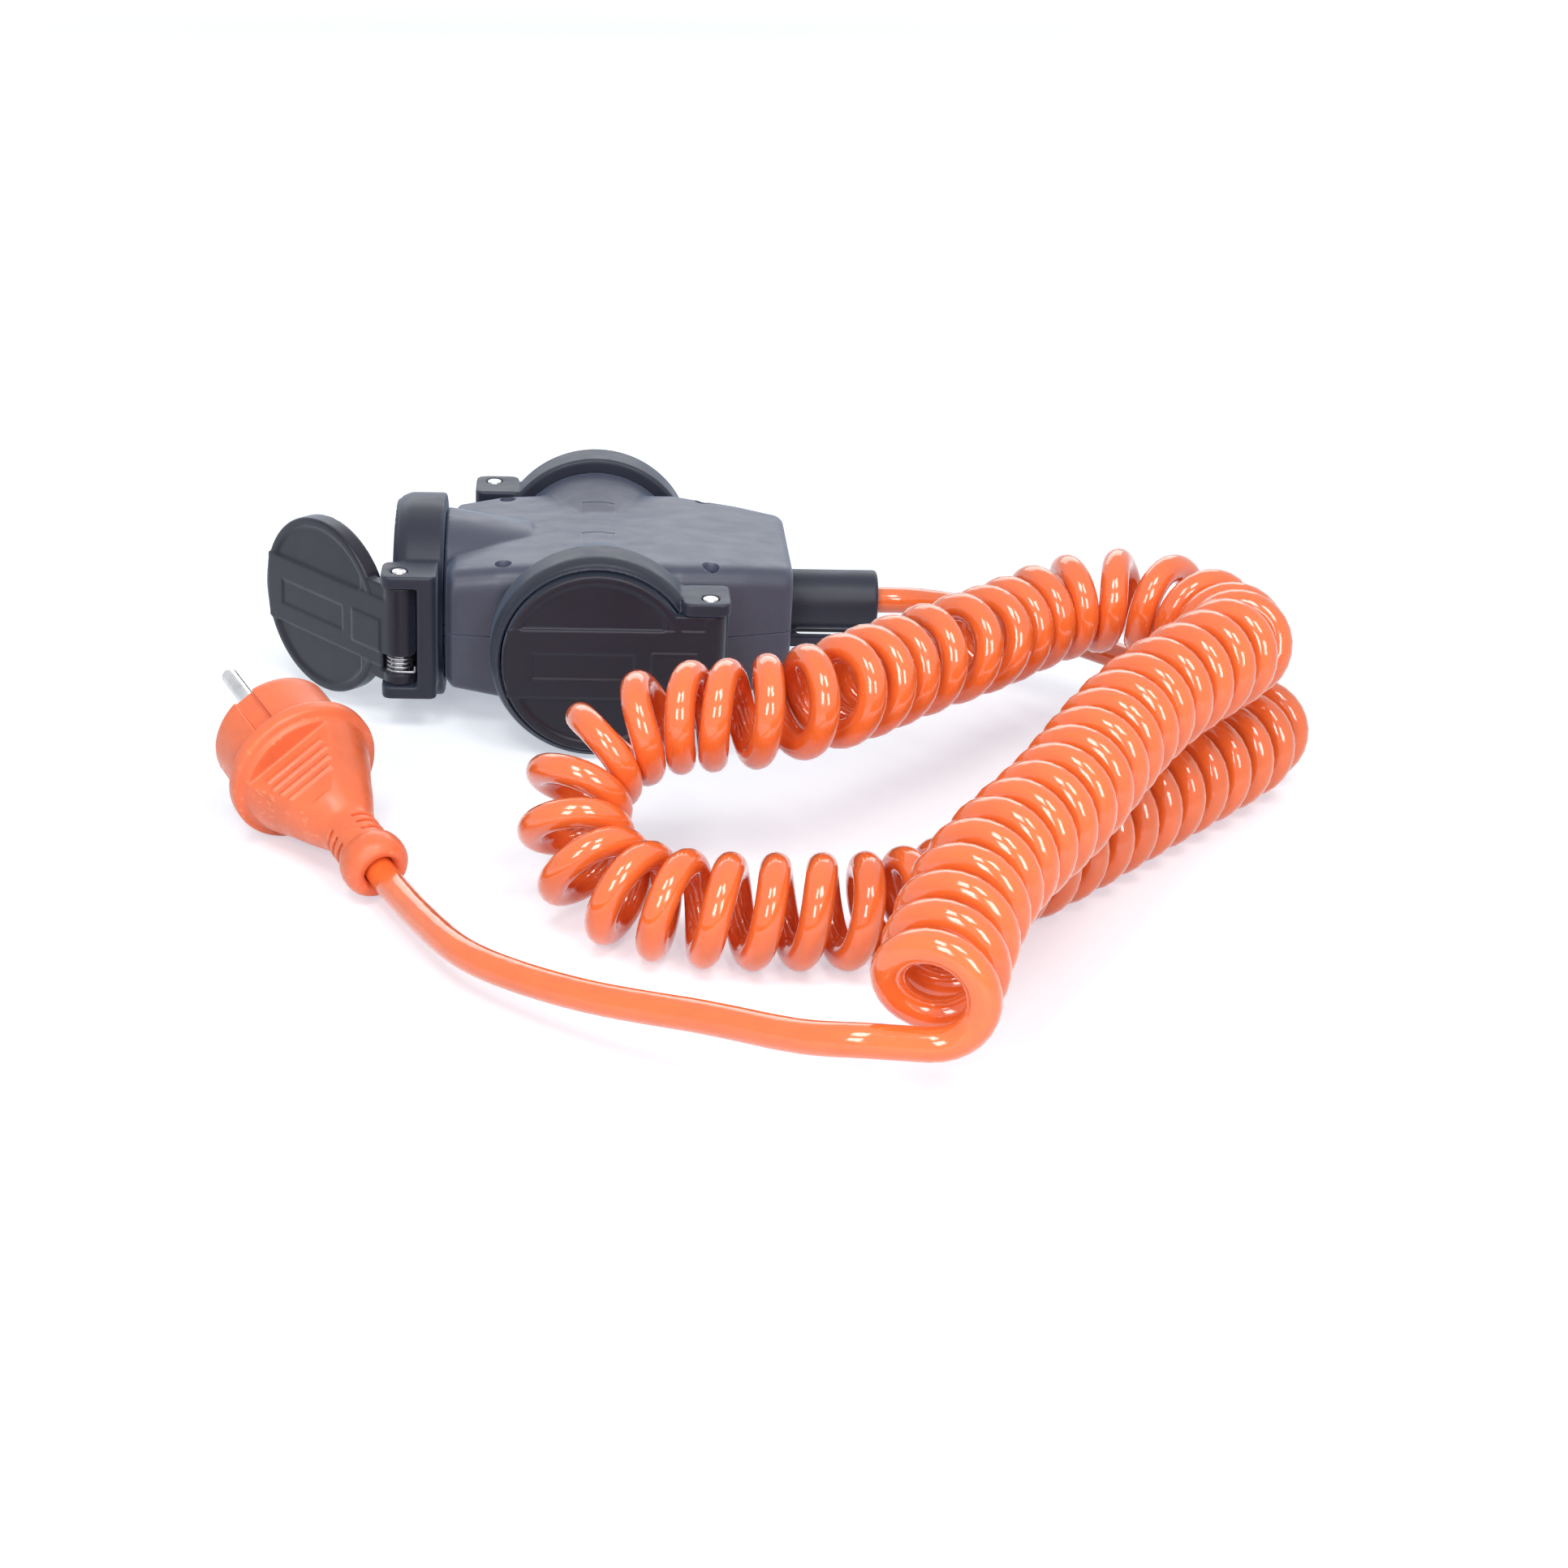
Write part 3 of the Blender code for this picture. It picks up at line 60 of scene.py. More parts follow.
# Routes of the cord, measured from the crossing
CURL_ROUTE = (
    (0.196, -0.060, 0.016),
    (0.190, -0.0716, 0.016),
    (0.1733, -0.091, 0.016),
    (0.145, -0.121, 0.016),
    (0.107, -0.160, 0.016),
    (0.075, -0.181, 0.016),
    (0.0508, -0.184, 0.016),
    (0.0235, -0.183, 0.016),
    (0.002, -0.171, 0.0174),
    (-0.006, -0.155, 0.025),
    (-0.003, -0.141, 0.0343),
    (0.007, -0.133, 0.0417),
    (0.021, -0.131, 0.0465),
    (0.0414, -0.133, 0.0494),
    (0.064, -0.124, 0.0518),
    (0.0833, -0.1015, 0.0497),
    (0.1035, -0.0818, 0.0488),
    (0.120, -0.0596, 0.0455),
    (0.1428, -0.0434, 0.0475),
    (0.163, -0.044, 0.049),
    (0.1766, -0.055, 0.0485),
    (0.182, -0.070, 0.049),
    (0.178, -0.0894, 0.0525),
    (0.1475, -0.1277, 0.0518),
    (0.1146, -0.184, 0.0478),
    (0.0907, -0.2233, 0.0463),
    (0.073, -0.273, 0.040),
)
# How far along their route the curls are, and how far apart they lie there against the even pitch
CURL_SPREAD = (
    (0.30, 1.0),
    (0.35, 0.8),
    (0.46, 0.8),
    (0.51, 1.15),
    (0.57, 1.3),
    (0.62, 0.85),
    (0.66, 0.85),
    (0.71, 1.0),
)
# Least space between neighbouring curls
CURL_GAP = 0.0005
TAIL_ROUTE = (
    (0.112, 0.004, 0.0285),
    (0.135, -0.003, 0.025),
    (0.155, -0.020, 0.024),
    (0.170, -0.037, 0.025),
)
LEAD_ROUTE = (
    (0.046, -0.2635, 0.0255),
    (0.0251, -0.2462, 0.020),
    (-0.0014, -0.2289, 0.015),
    (-0.0277, -0.2073, 0.0115),
    (-0.0400, -0.1900, 0.0100),
)
UP = np.array((0.0, 0.0, 1.0))

# Plug: place of its cord end, and the way it points
PLUG_PLACE = (-0.0575, -0.155, 0.0099)
PLUG_HEADING = 121.0
PLUG_TILT = 13.0
PLUG_ROLL = 54.0
PLUG_BORE_DEPTH = 0.004
# From the middle of a plug's face, or of a cup's floor, to each pin
PIN_OUT = 0.0095

# Turn of each socket about Z, reach of its seat face, angle of its lid and the body of that lid
SOCKETS = {
    "left": (-90.0, 0.059, 43.0, "lid_unit_left"),
    "front": (0.0, 0.052, 0.0, "lid_unit_front"),
    "back": (180.0, 0.052, 0.0, "lid_unit_back"),
}
FIXED = "distributor"
GLAND_END = 0.0885
# Voxel size of each moulded shape, and how many times it is smoothed
MOULDING = {
    "plug": (0.00032, 6),
    "collar": (0.00046, 6),
    "lid": (0.00038, 3),
    "housing": (0.00058, 10),
}

CAMERA_PLACE = (-0.00271, -0.79643, 0.33633)
CAMERA_PITCH = 25.0
CAMERA_YAW = 2.41
CAMERA_LENS = 61.49
CAMERA_SENSOR = 36.0
CAMERA_SHIFT = 0.2101

# The point that the lamps face, their places from there, and their widths and heights. The place of
# a strip is how far it is to either side, towards the camera and up.
LIT_POINT = Vector((0.05, -0.10, 0.03))
STRIP_PLACES = ((0.36, 0.89, 0.50), (0.26, 0.52, 0.98))
STRIP_SIZE = (0.28, 0.38)
BACK_PLACE = Vector((0, 1.05, 0.57))
BACK_SIZE = (1.2, 0.5)


def size(name, description, default):
    """A length that a user can change."""
    return FloatProperty(
        name=name, description=description, default=default, min=0.0, unit="LENGTH", precision=5
    )


def count(name, description, default):
    return IntProperty(name=name, description=description, default=default, min=3)


def tint(name, description, default):
    return FloatVectorProperty(
        name=name, description=description, default=default, size=3, min=0, max=1, subtype="COLOR"
    )


class CordSettings(bpy.types.PropertyGroup):
    """Sizes and colour of the curly cord"""

    radius: size("Cord radius", "Half of the sheath's diameter", 0.0041)
    curl_radius: size("Curl radius", "From the middle of a curl to the cord's centre line", 0.0114)
    curl_pitch: size("Curl pitch", "Distance between neighbouring curls on a straight run", 0.0121)
    curl_points: count("Points per curl", "Points of the centre line in each curl", 28)
    sides: count("Sides", "Faces round the cord", 20)
    step: size("Step", "Distance between points where the cord isn't curled", 0.003)
    colour: tint("Sheath colour", "Colour of the sheath", (0.84, 0.160, 0.035))


class SocketSettings(bpy.types.PropertyGroup):
    """Sizes of the collars, lids and plug cups"""

    collar_radius: size("Collar radius", "Outer radius of the collar", 0.032)
    collar_depth: size("Collar depth", "From the seat face back to the housing", 0.0118)
    rim_radius: size("Rim radius", "Outer radius of the rim round the lid", 0.0299)
    rim_height: size("Rim height", "Height of that rim over the seat face", 0.0037)
    lid_radius: size("Lid radius", "Outer radius of the lid", 0.0282)
    lid_top: size("Lid height", "From the seat face to the top of the lid's band", 0.006)
    band_half: size("Band half width", "Half the width of the band across the lid", 0.011)
    hinge_reach: size("Hinge reach", "From the socket's axis to the hinge pin", 0.0335)
    pin_radius: size("Pin radius", "Radius of the hinge pin", 0.0024)
    cup_radius: size("Cup radius", "Radius of the plug cup at its floor", 0.01975)
    cup_floor: size("Cup depth", "Depth of the plug cup", 0.0185)


class HousingSettings(bpy.types.PropertyGroup):
    """Sizes and colours of the housing"""

    half_width: size("Half width", "Half the width of the housing at its middle", 0.037)
    half_height: size("Half height", "Half the height of the housing at its middle", 0.0226)
    corner: size("Corner radius", "Radius of the housing's long edges", 0.007)
    gland_radius: size("Gland radius", "Radius of the cord gland", 0.0094)
    # These three colours are lit and shaded copies of one charcoal rubber: the housing's is lighter
    # and bluer, a painted bluish sheen, and the collar's and lid's are darker, painted shade
    shell: tint("Housing colour", "Colour of the housing's rubber", (0.052, 0.057, 0.088))
    collar: tint("Collar colour", "Colour of the collars, gland and strap", (0.016, 0.019, 0.032))
    lid: tint("Lid colour", "Colour of the lids", (0.012, 0.011, 0.019))


class PlugSettings(bpy.types.PropertyGroup):
    """Sizes and colour of the plug"""

    flange_radius: size("Flange radius", "Radius of the plug's flange", 0.022)
    front_radius: size("Front radius", "Radius of the part that enters a socket", 0.0185)
    length: size("Body length", "From the cord end to the face with the pins", 0.071)
    pin_length: size("Pin length", "Length of a pin outside the plug", 0.019)
    pin_radius: size("Pin radius", "Radius of a pin", 0.0024)
    colour: tint("Plug colour", "Colour of the plug's moulding", (0.82, 0.172, 0.066))


class StageSettings(bpy.types.PropertyGroup):
    """Light and background"""

    world_light: FloatProperty(
        name="World light", description="Strength of the light from all round", default=0.28, min=0
    )
    key_light: FloatProperty(
        name="Strip light", description="Power of each strip light in watts", default=3.6, min=0
    )
    back_light: FloatProperty(
        name="Back light", description="Power of the soft box behind in watts", default=4.0, min=0
    )
    floor: tint("Floor colour", "Colour of the floor in full light", (0.74, 0.74, 0.74))


# Meshes


def finished(bm):
    """The mesh of an edit mesh, with its faces pointing out."""
    bmesh.ops.recalc_face_normals(bm, faces=bm.faces)
    mesh = bpy.data.meshes.new("shape")
    bm.to_mesh(mesh)
    bm.free()
    return mesh


def added(name, data):
    """A new object in the scene."""
    obj = bpy.data.objects.new(name, data)
    bpy.context.scene.collection.objects.link(obj)
    return obj


def passing(data):
    """An object that holds some data while its modifiers are worked out."""
    return added("passing", data)


def baked(obj):
    """The evaluated mesh of a passing object, which is removed."""
    graph = bpy.context.evaluated_depsgraph_get()
    mesh = bpy.data.meshes.new_from_object(obj.evaluated_get(graph))
    bpy.data.objects.remove(obj)
    return mesh


def lathe(profile, segments):
    """A body of revolution about Z. A profile that starts off the axis is a closed ring."""
    bm = bmesh.new()
    verts = [bm.verts.new((radius, 0, height)) for radius, height in profile]
    edges = [bm.edges.new(pair) for pair in zip(verts, verts[1:])]
    if profile[0][0] > 0:
        edges.append(bm.edges.new((verts[-1], verts[0])))
    bmesh.ops.spin(
        bm,
        geom=verts + edges,
        cent=(0, 0, 0),
        axis=(0, 0, 1),
        angle=2 * math.pi,
        steps=segments,
        use_merge=True,
    )
    bmesh.ops.remove_doubles(bm, verts=bm.verts, dist=1e-6)
    return finished(bm)


def eased(points, steps=4, closed=False):
    """Outline points (x, y, radius) with each corner rounded by about its radius."""
    result = []
    last = len(points) - 1
    for i, (x, y, *radius) in enumerate(points):
        if not radius or (not closed and i in (0, last)):
            result.append((x, y))
            continue
        corner = Vector((x, y))
        before = Vector(points[i - 1][:2]) - corner
        after = Vector(points[(i + 1) % len(points)][:2]) - corner
        reach = min(radius[0], 0.48 * before.length, 0.48 * after.length)
        start, end = before.normalized() * reach, after.normalized() * reach
        for k in range(steps + 1):
            t = k / steps
            result.append(tuple(corner + start * (1 - t) ** 2 + end * t**2))
    return result


def spun(outline, steps=4, segments=96, closed=False):
    """A body of revolution about Z, with the corners of its outline rounded."""
    return lathe(eased(outline, steps, closed), segments)


def box(low, high):
    bm = bmesh.new()
    bmesh.ops.create_cube(bm, size=1.0)
    bmesh.ops.scale(bm, vec=Vector(high) - Vector(low), verts=bm.verts)
    bmesh.ops.translate(bm, vec=(Vector(high) + Vector(low)) / 2, verts=bm.verts)
    return finished(bm)


def rod(start, end, radius, end_radius=None, segments=64):
    """A cylinder, or a cone, between two points."""
    start, end = Vector(start), Vector(end)
    axis = end - start
    turn = axis.to_track_quat("Z", "Y").to_matrix().to_4x4()
    bm = bmesh.new()
    bmesh.ops.create_cone(
        bm,
        cap_ends=True,
        segments=segments,
        radius1=radius,
        radius2=radius if end_radius is None else end_radius,
        depth=axis.length,
        matrix=Matrix.Translation((start + end) / 2) @ turn,
    )
    return finished(bm)


def slab(outline, low, high, hole=()):
    """A flat piece with its outline, and perhaps a hole, in XY and its thickness along Z."""
    curve = bpy.data.curves.new("outline", "CURVE")
    curve.dimensions = "2D"
    curve.fill_mode = "BOTH"
    curve.extrude = (high - low) / 2
    for points in filter(len, (outline, hole)):
        spline = curve.splines.new("POLY")
        spline.points.add(len(points) - 1)
        for point, (x, y) in zip(spline.points, points):
            point.co = (x, y, 0, 1)
        spline.use_cyclic_u = True
    bm = bmesh.new()
    bm.from_mesh(baked(passing(curve)))
    bmesh.ops.remove_doubles(bm, verts=bm.verts, dist=1e-6)
    bmesh.ops.translate(bm, vec=(0, 0, (low + high) / 2), verts=bm.verts)
    return finished(bm)


def rotation(degrees, axis):
    return Matrix.Rotation(math.radians(degrees), 4, axis)


def upright(mesh):
    """Turns what is drawn in XY into the XZ plane, and what runs along Z to run along Y."""
    mesh.transform(rotation(90, "X"))
    return mesh


def loft(rings):
    """A skin through rings of equal point counts, closed at both ends."""
    bm = bmesh.new()
    loops = [[bm.verts.new(point) for point in ring] for ring in rings]
    for near, far in zip(loops, loops[1:]):
        for i in range(len(near)):
            bm.faces.new((near[i - 1], near[i], far[i], far[i - 1]))
    bm.faces.new(loops[0])
    bm.faces.new(loops[-1])
    return finished(bm)


def combined(mesh, tools, operation):
    """The mesh joined with, or cut by, each tool in turn."""
    body = passing(mesh)
    helpers = [passing(tool) for tool in tools]
    for helper in helpers:
        modifier = body.modifiers.new(operation, "BOOLEAN")
        modifier.operation = operation
        modifier.object = helper
    result = baked(body)
    for helper in helpers:
        bpy.data.objects.remove(helper)
    return result


def joined(mesh, *tools):
    return combined(mesh, tools, "UNION")


def cut(mesh, *tools):
    return combined(mesh, tools, "DIFFERENCE")


def moulded(mesh, voxel, passes):
    """The shape as a rubber moulding: evenly meshed, with soft edges and fillets."""
    obj = passing(mesh)
    remesh = obj.modifiers.new("mould", "REMESH")
    remesh.mode = "VOXEL"
    remesh.voxel_size = voxel
    smooth = obj.modifiers.new("soften", "SMOOTH")
    smooth.factor = 0.5
    smooth.iterations = passes
    return baked(obj)


def bevelled(mesh, width, segments=3, angle=35):
    """The mesh with its sharp edges rounded."""
    obj = passing(mesh)
    bevel = obj.modifiers.new("edges", "BEVEL")
    bevel.width = width
    bevel.segments = segments
    bevel.limit_method = "ANGLE"
    bevel.angle_limit = math.radians(angle)
    return baked(obj)


def piece(name, mesh, finish, body, nodes, sharp=35):
    """A finished piece that rides on a body and stands for some CAD nodes."""
    mesh.name = name
    mesh.materials.clear()
    mesh.materials.append(material_of(finish))
    mesh.shade_smooth()
    if sharp:
        mesh.set_sharp_from_angle(angle=math.radians(sharp))
    obj = added(name, mesh)
    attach(obj, body)
    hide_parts(*nodes)
    return obj


# Places


def crossing():
    return Matrix.Translation(CROSSING)


def socket_place(name):
    """The frame of a socket: x towards its hinge, y up, z out of the socket."""
    turn, reach, _, _ = SOCKETS[name]
    way = math.radians(turn - 90)
    place = Vector((reach * math.cos(way), reach * math.sin(way), AXIS_HEIGHT))
    return crossing() @ Matrix.Translation(place) @ (rotation(turn, "Z") @ rotation(90, "X"))


def hinge_place(name, reach, out):
    """The frame of a lid: its socket's frame, turned about the hinge pin."""
    there = Matrix.Translation((reach, 0, out))
    return socket_place(name) @ there @ rotation(SOCKETS[name][2], "Y") @ there.inverted()


def plug_place():
    """The frame of the plug: z runs from its cord end to its pins, x through both pins."""
    heading, tilt = rotation(PLUG_HEADING, "Z"), rotation(90 - PLUG_TILT, "Y")
    roll = rotation(90 + PLUG_ROLL, "Z")
    return crossing() @ Matrix.Translation(PLUG_PLACE) @ heading @ tilt @ roll


def placed(mesh, matrix):
    """A copy of the mesh at its place."""
    copy = mesh.copy()
    copy.transform(matrix)
    return copy


# Materials


def material_of(finish):
    return bpy.data.materials[finish]


def shader_tree(name):
    """The node tree and the shader of a new material."""
    made = bpy.data.materials.new(name)
    made.use_nodes = True
    return made.node_tree, made.node_tree.nodes["Principled BSDF"]


def feed(inlet, value):
    """Gives an input a value, or a link where the value is a socket."""
    if isinstance(value, bpy.types.NodeSocket):
        inlet.id_data.links.new(value, inlet)
    else:
        inlet.default_value = value


def filled(node, **values):
    """The node with its inputs fed and its settings made. Names have underscores for spaces."""
    for key, value in values.items():
        label = key.replace("_", " ")
        if label in node.inputs:
            feed(node.inputs[label], value)
        else:
            setattr(node, key, value)
    return node


def add(tree, kind, **values):
    return filled(tree.nodes.new(kind), **values)


def worked(tree, operation, first, second):
    """The result of one sum with two values."""
    node = add(tree, "ShaderNodeMath", operation=operation)
    feed(node.inputs[0], first)
    feed(node.inputs[1], second)
    return node.outputs["Value"]


def spread(tree, source, low, high, start, end):
    """A value between low and high, as the source goes from start to end."""
    node = add(tree, "ShaderNodeMapRange", From_Min=start, From_Max=end, To_Min=low, To_Max=high)
    return filled(node, Value=source).outputs["Result"]


def noise(tree, place, scale, detail, roughness=0.5):
    node = add(tree, "ShaderNodeTexNoise", Scale=scale, Detail=detail, Roughness=roughness)
    return filled(node, Vector=place).outputs["Fac"]


def patterned(tree, scale, detail=3.0, roughness=0.5, stretch=(1, 1, 1)):
    """Noise fixed to the piece in object coordinates."""
    place = add(tree, "ShaderNodeTexCoord").outputs["Object"]
    stretched = add(tree, "ShaderNodeMapping", Vector=place, Scale=stretch)
    return noise(tree, stretched.outputs["Vector"], scale, detail, roughness)


def scaled(colour, factor):
    return (*(min(1.0, value * factor) for value in colour), 1)


def mixed(tree, factor, first, second):
    """A colour between two others, each with its alpha or a socket."""
    node = add(tree, "ShaderNodeMix", data_type="RGBA")
    for index, value in ((0, factor), (6, first), (7, second)):
        feed(node.inputs[index], value)
    return node.outputs[2]


def drifting(tree, pattern, start, end, colour, first, second):
    """A colour that drifts between two strengths of itself."""
    share = spread(tree, pattern, 0, 1, start, end)
    return mixed(tree, share, scaled(colour, first), scaled(colour, second))


def corner_wear_and_highlight(tree, tone, wear_and_highlight_tone, most, start, end):
    """A tone that turns towards a paler colour on outer corners: wear on the rubber, and on the
    plug wear together with a painted highlight.
    """
    corners = add(tree, "ShaderNodeNewGeometry").outputs["Pointiness"]
    return mixed(tree, spread(tree, corners, 0, most, start, end), tone, wear_and_highlight_tone)


def bumped(tree, *layers):
    """A normal with one or more layers of relief, each a height, a strength and a distance."""
    normal = None
    for height, strength, distance in layers:
        node = add(tree, "ShaderNodeBump", Height=height, Strength=strength, Distance=distance)
        if normal:
            feed(node.inputs["Normal"], normal)
        normal = node.outputs["Normal"]
    return normal


def rubber_finish(name, colour, roughness, gloss, bloom):
    """Dark rubber: cloudy tone, fine grain, edges rubbed paler and a bluish bloom."""
    tree, shader = shader_tree(name)
    cloud = patterned(tree, 38.0, 5.0, 0.6)
    tone = drifting(tree, cloud, 0.36, 0.66, colour, 0.94, 1.08)
    smear = patterned(tree, 90.0, 4.0, 0.65, (1.0, 2.2, 1.0))
    grain, uneven = patterned(tree, 2600.0, 2.0), patterned(tree, 150.0, 2.0)
    filled(
        shader,
        Base_Color=corner_wear_and_highlight(tree, tone, scaled(colour, 2.4), 0.55, 0.505, 0.56),
        Roughness=spread(tree, smear, roughness - 0.04, roughness + 0.07, 0.35, 0.68),
        Normal=bumped(tree, (grain, 0.22, 0.00008), (uneven, 0.12, 0.00012)),
        Specular_IOR_Level=gloss,
        Sheen_Weight=bloom,
        Sheen_Roughness=0.4,
        Sheen_Tint=(0.52, 0.70, 1.0, 1),
    )


def plastic_finish(name, colour, roughness):
    """Moulded plastic with a faint grain."""
    tree, shader = shader_tree(name)
    smear = patterned(tree, 140.0)
    filled(
        shader,
        Base_Color=drifting(tree, patterned(tree, 60.0), 0.35, 0.65, colour, 0.85, 1.2),
        Roughness=spread(tree, smear, roughness - 0.06, roughness + 0.1, 0.35, 0.65),
        Normal=bumped(tree, (patterned(tree, 1800.0, 2.0), 0.15, 0.00005)),
    )


def metal_finish(name, colour, roughness):
    """Plated or plain metal with fine drawing lines and a few dull spots."""
    tree, shader = shader_tree(name)
    lines = patterned(tree, 900.0, 2.0, 0.5, (1.0, 1.0, 0.12))
    filled(
        shader,
        Base_Color=drifting(tree, patterned(tree, 220.0, 4.0), 0.4, 0.7, colour, 1.0, 0.82),
        Metallic=1.0,
        Roughness=spread(tree, lines, roughness - 0.06, roughness + 0.12, 0.3, 0.7),
        Normal=bumped(tree, (lines, 0.08, 0.00004)),
    )


def sheath_finish(name, colour):
    """Glossy cord sheath: slight waves that break up its highlights, and thin rub marks."""
    tree, shader = shader_tree(name)
    ring = add(tree, "ShaderNodeAttribute", attribute_name="ring").outputs["Vector"]
    along = add(tree, "ShaderNodeAttribute", attribute_name="along").outputs["Fac"]
    split = add(tree, "ShaderNodeSeparateXYZ", Vector=ring).outputs
    height = worked(tree, "MULTIPLY", along, 110.0)
    place = add(tree, "ShaderNodeCombineXYZ", X=split["X"], Y=split["Y"], Z=height)

    def follows(scale, detail):
        return noise(tree, place.outputs["Vector"], scale, detail)

    waves, fine = follows(1.6, 1.0), follows(16.0, 2.0)
    filled(
        shader,
        Base_Color=drifting(tree, follows(0.9, 3.0), 0.35, 0.65, colour, 0.95, 1.06),
        Roughness=spread(tree, follows(7.0, 4.0), 0.07, 0.23, 0.45, 0.75),
        Normal=bumped(tree, (waves, 0.30, 0.0006), (fine, 0.12, 0.00005)),
        Subsurface_Weight=0.12,
        Subsurface_Radius=(1.0, 0.28, 0.12),
        Subsurface_Scale=0.0015,
        Specular_IOR_Level=0.55,
        Coat_Weight=0.55,
        Coat_Roughness=0.04,
    )


def plug_finish(name, colour):
    """Satin plug moulding: cloudy, a little translucent, with its corners painted paler and pinker,
    partly handling wear and partly a painted highlight.
    """
    tree, shader = shader_tree(name)
    cloud, smear = patterned(tree, 45.0, 4.0, 0.6), patterned(tree, 110.0, 4.0, 0.6)
    tone = drifting(tree, cloud, 0.36, 0.66, colour, 0.88, 1.12)
    grain, uneven = patterned(tree, 2200.0, 2.0), patterned(tree, 170.0, 2.0)
    filled(
        shader,
        # Paler pinkish corners: handling wear, and a painted highlight along the plug's rims
        Base_Color=corner_wear_and_highlight(tree, tone, (0.95, 0.36, 0.20, 1), 0.4, 0.52, 0.57),
        Roughness=spread(tree, smear, 0.26, 0.50, 0.35, 0.68),
        Normal=bumped(tree, (grain, 0.14, 0.00006), (uneven, 0.2, 0.00018)),
        Subsurface_Weight=0.15,
        Subsurface_Radius=(1.0, 0.3, 0.15),
        Subsurface_Scale=0.002,
    )


# Geometry node trees


def tree_with(name, inputs):
    """An empty geometry node tree with named inputs, and its group input and output nodes."""
    tree = bpy.data.node_groups.new(name, "GeometryNodeTree")
    geometry = "NodeSocketGeometry"
    tree.interface.new_socket("Geometry", in_out="INPUT", socket_type=geometry)
    for label, kind in inputs:
        tree.interface.new_socket(label, in_out="INPUT", socket_type=f"NodeSocket{kind}")
    tree.interface.new_socket("Geometry", in_out="OUTPUT", socket_type=geometry)
    return tree, tree.nodes.new("NodeGroupInput"), tree.nodes.new("NodeGroupOutput")


def chain(tree, *steps):
    """Links the geometry of each node or socket to the next."""
    for source, target in zip(steps, steps[1:]):
        outlet = source if isinstance(source, bpy.types.NodeSocket) else source.outputs[0]
        inlet = target if isinstance(target, bpy.types.NodeSocket) else target.inputs[0]
        tree.links.new(outlet, inlet)


def covered(tree, shape, source, result):
    """Gives a shape its material and hands it to the group's output."""
    realize = add(tree, "GeometryNodeRealizeInstances")
    cover = add(tree, "GeometryNodeSetMaterial", Material=source.outputs["Material"])
    chain(tree, shape, realize, cover, result)
    return tree


def sheath_tree(name):
    """A round tube along a line, with the place along it and round it kept on its surface."""
    inputs = (("Radius", "Float"), ("Sides", "Int"), ("Material", "Material"))
    tree, source, result = tree_with(name, inputs)

    def kept(label, kind, value):
        node = add(tree, "GeometryNodeStoreNamedAttribute", data_type=kind, domain="POINT")
        return filled(node, Name=label, Value=value)

    length = add(tree, "GeometryNodeSplineParameter").outputs["Length"]
    outward = add(tree, "ShaderNodeVectorMath", operation="NORMALIZE")
    chain(tree, add(tree, "GeometryNodeInputPosition"), outward)
    circle = add(tree, "GeometryNodeCurvePrimitiveCircle", Radius=source.outputs["Radius"])
    filled(circle, Resolution=source.outputs["Sides"])
    tube = add(tree, "GeometryNodeCurveToMesh", Fill_Caps=True)
    line = kept("along", "FLOAT", length)
    ring = kept("ring", "FLOAT_VECTOR", outward.outputs["Vector"])
    chain(tree, source.outputs["Geometry"], line, tube.inputs["Curve"])
    chain(tree, circle, ring, tube.inputs["Profile Curve"])
    return covered(tree, tube, source, result)


def repeat_tree(name):
    """One shape at every point."""
    tree, source, result = tree_with(name, (("Shape", "Object"), ("Material", "Material")))
    shape = add(tree, "GeometryNodeObjectInfo", transform_space="ORIGINAL")
    filled(shape, Object=source.outputs["Shape"])
    copies = add(tree, "GeometryNodeInstanceOnPoints", Instance=shape.outputs["Geometry"])
    chain(tree, source.outputs["Geometry"], copies)
    return covered(tree, copies, source, result)


def grown(data, tree, **values):
    """The mesh that a geometry node tree makes of some data."""
    obj = passing(data)
    modifier = obj.modifiers.new("nodes", "NODES")
    modifier.node_group = tree
    for item in tree.interface.items_tree:
        if item.in_out == "INPUT" and item.name in values:
            modifier[item.identifier] = values[item.name]
    obj.update_tag()
    return baked(obj)


def group_named(name, maker):
    return bpy.data.node_groups.get(name) or maker(name)


def sheathed(points, radius, sides, finish):
    """A round tube along a line of points."""
    curve = bpy.data.curves.new("line", "CURVE")
    curve.dimensions = "3D"
    spline = curve.splines.new("POLY")
    spline.points.add(len(points) - 1)
    for point, place in zip(spline.points, points):
        point.co = (*place, 1)
    tree = group_named("Sheath along a line", sheath_tree)
    return grown(curve, tree, Radius=radius, Sides=sides, Material=material_of(finish))


def repeated(shape, places, finish):
    """One mesh with the shape at every place."""
    points = bpy.data.meshes.new("places")
    points.from_pydata(places, [], [])
    template = passing(shape)
    tree = group_named("Shape at each point", repeat_tree)
    mesh = grown(points, tree, Shape=template, Material=material_of(finish))
    bpy.data.objects.remove(template)
    return mesh


# Cord


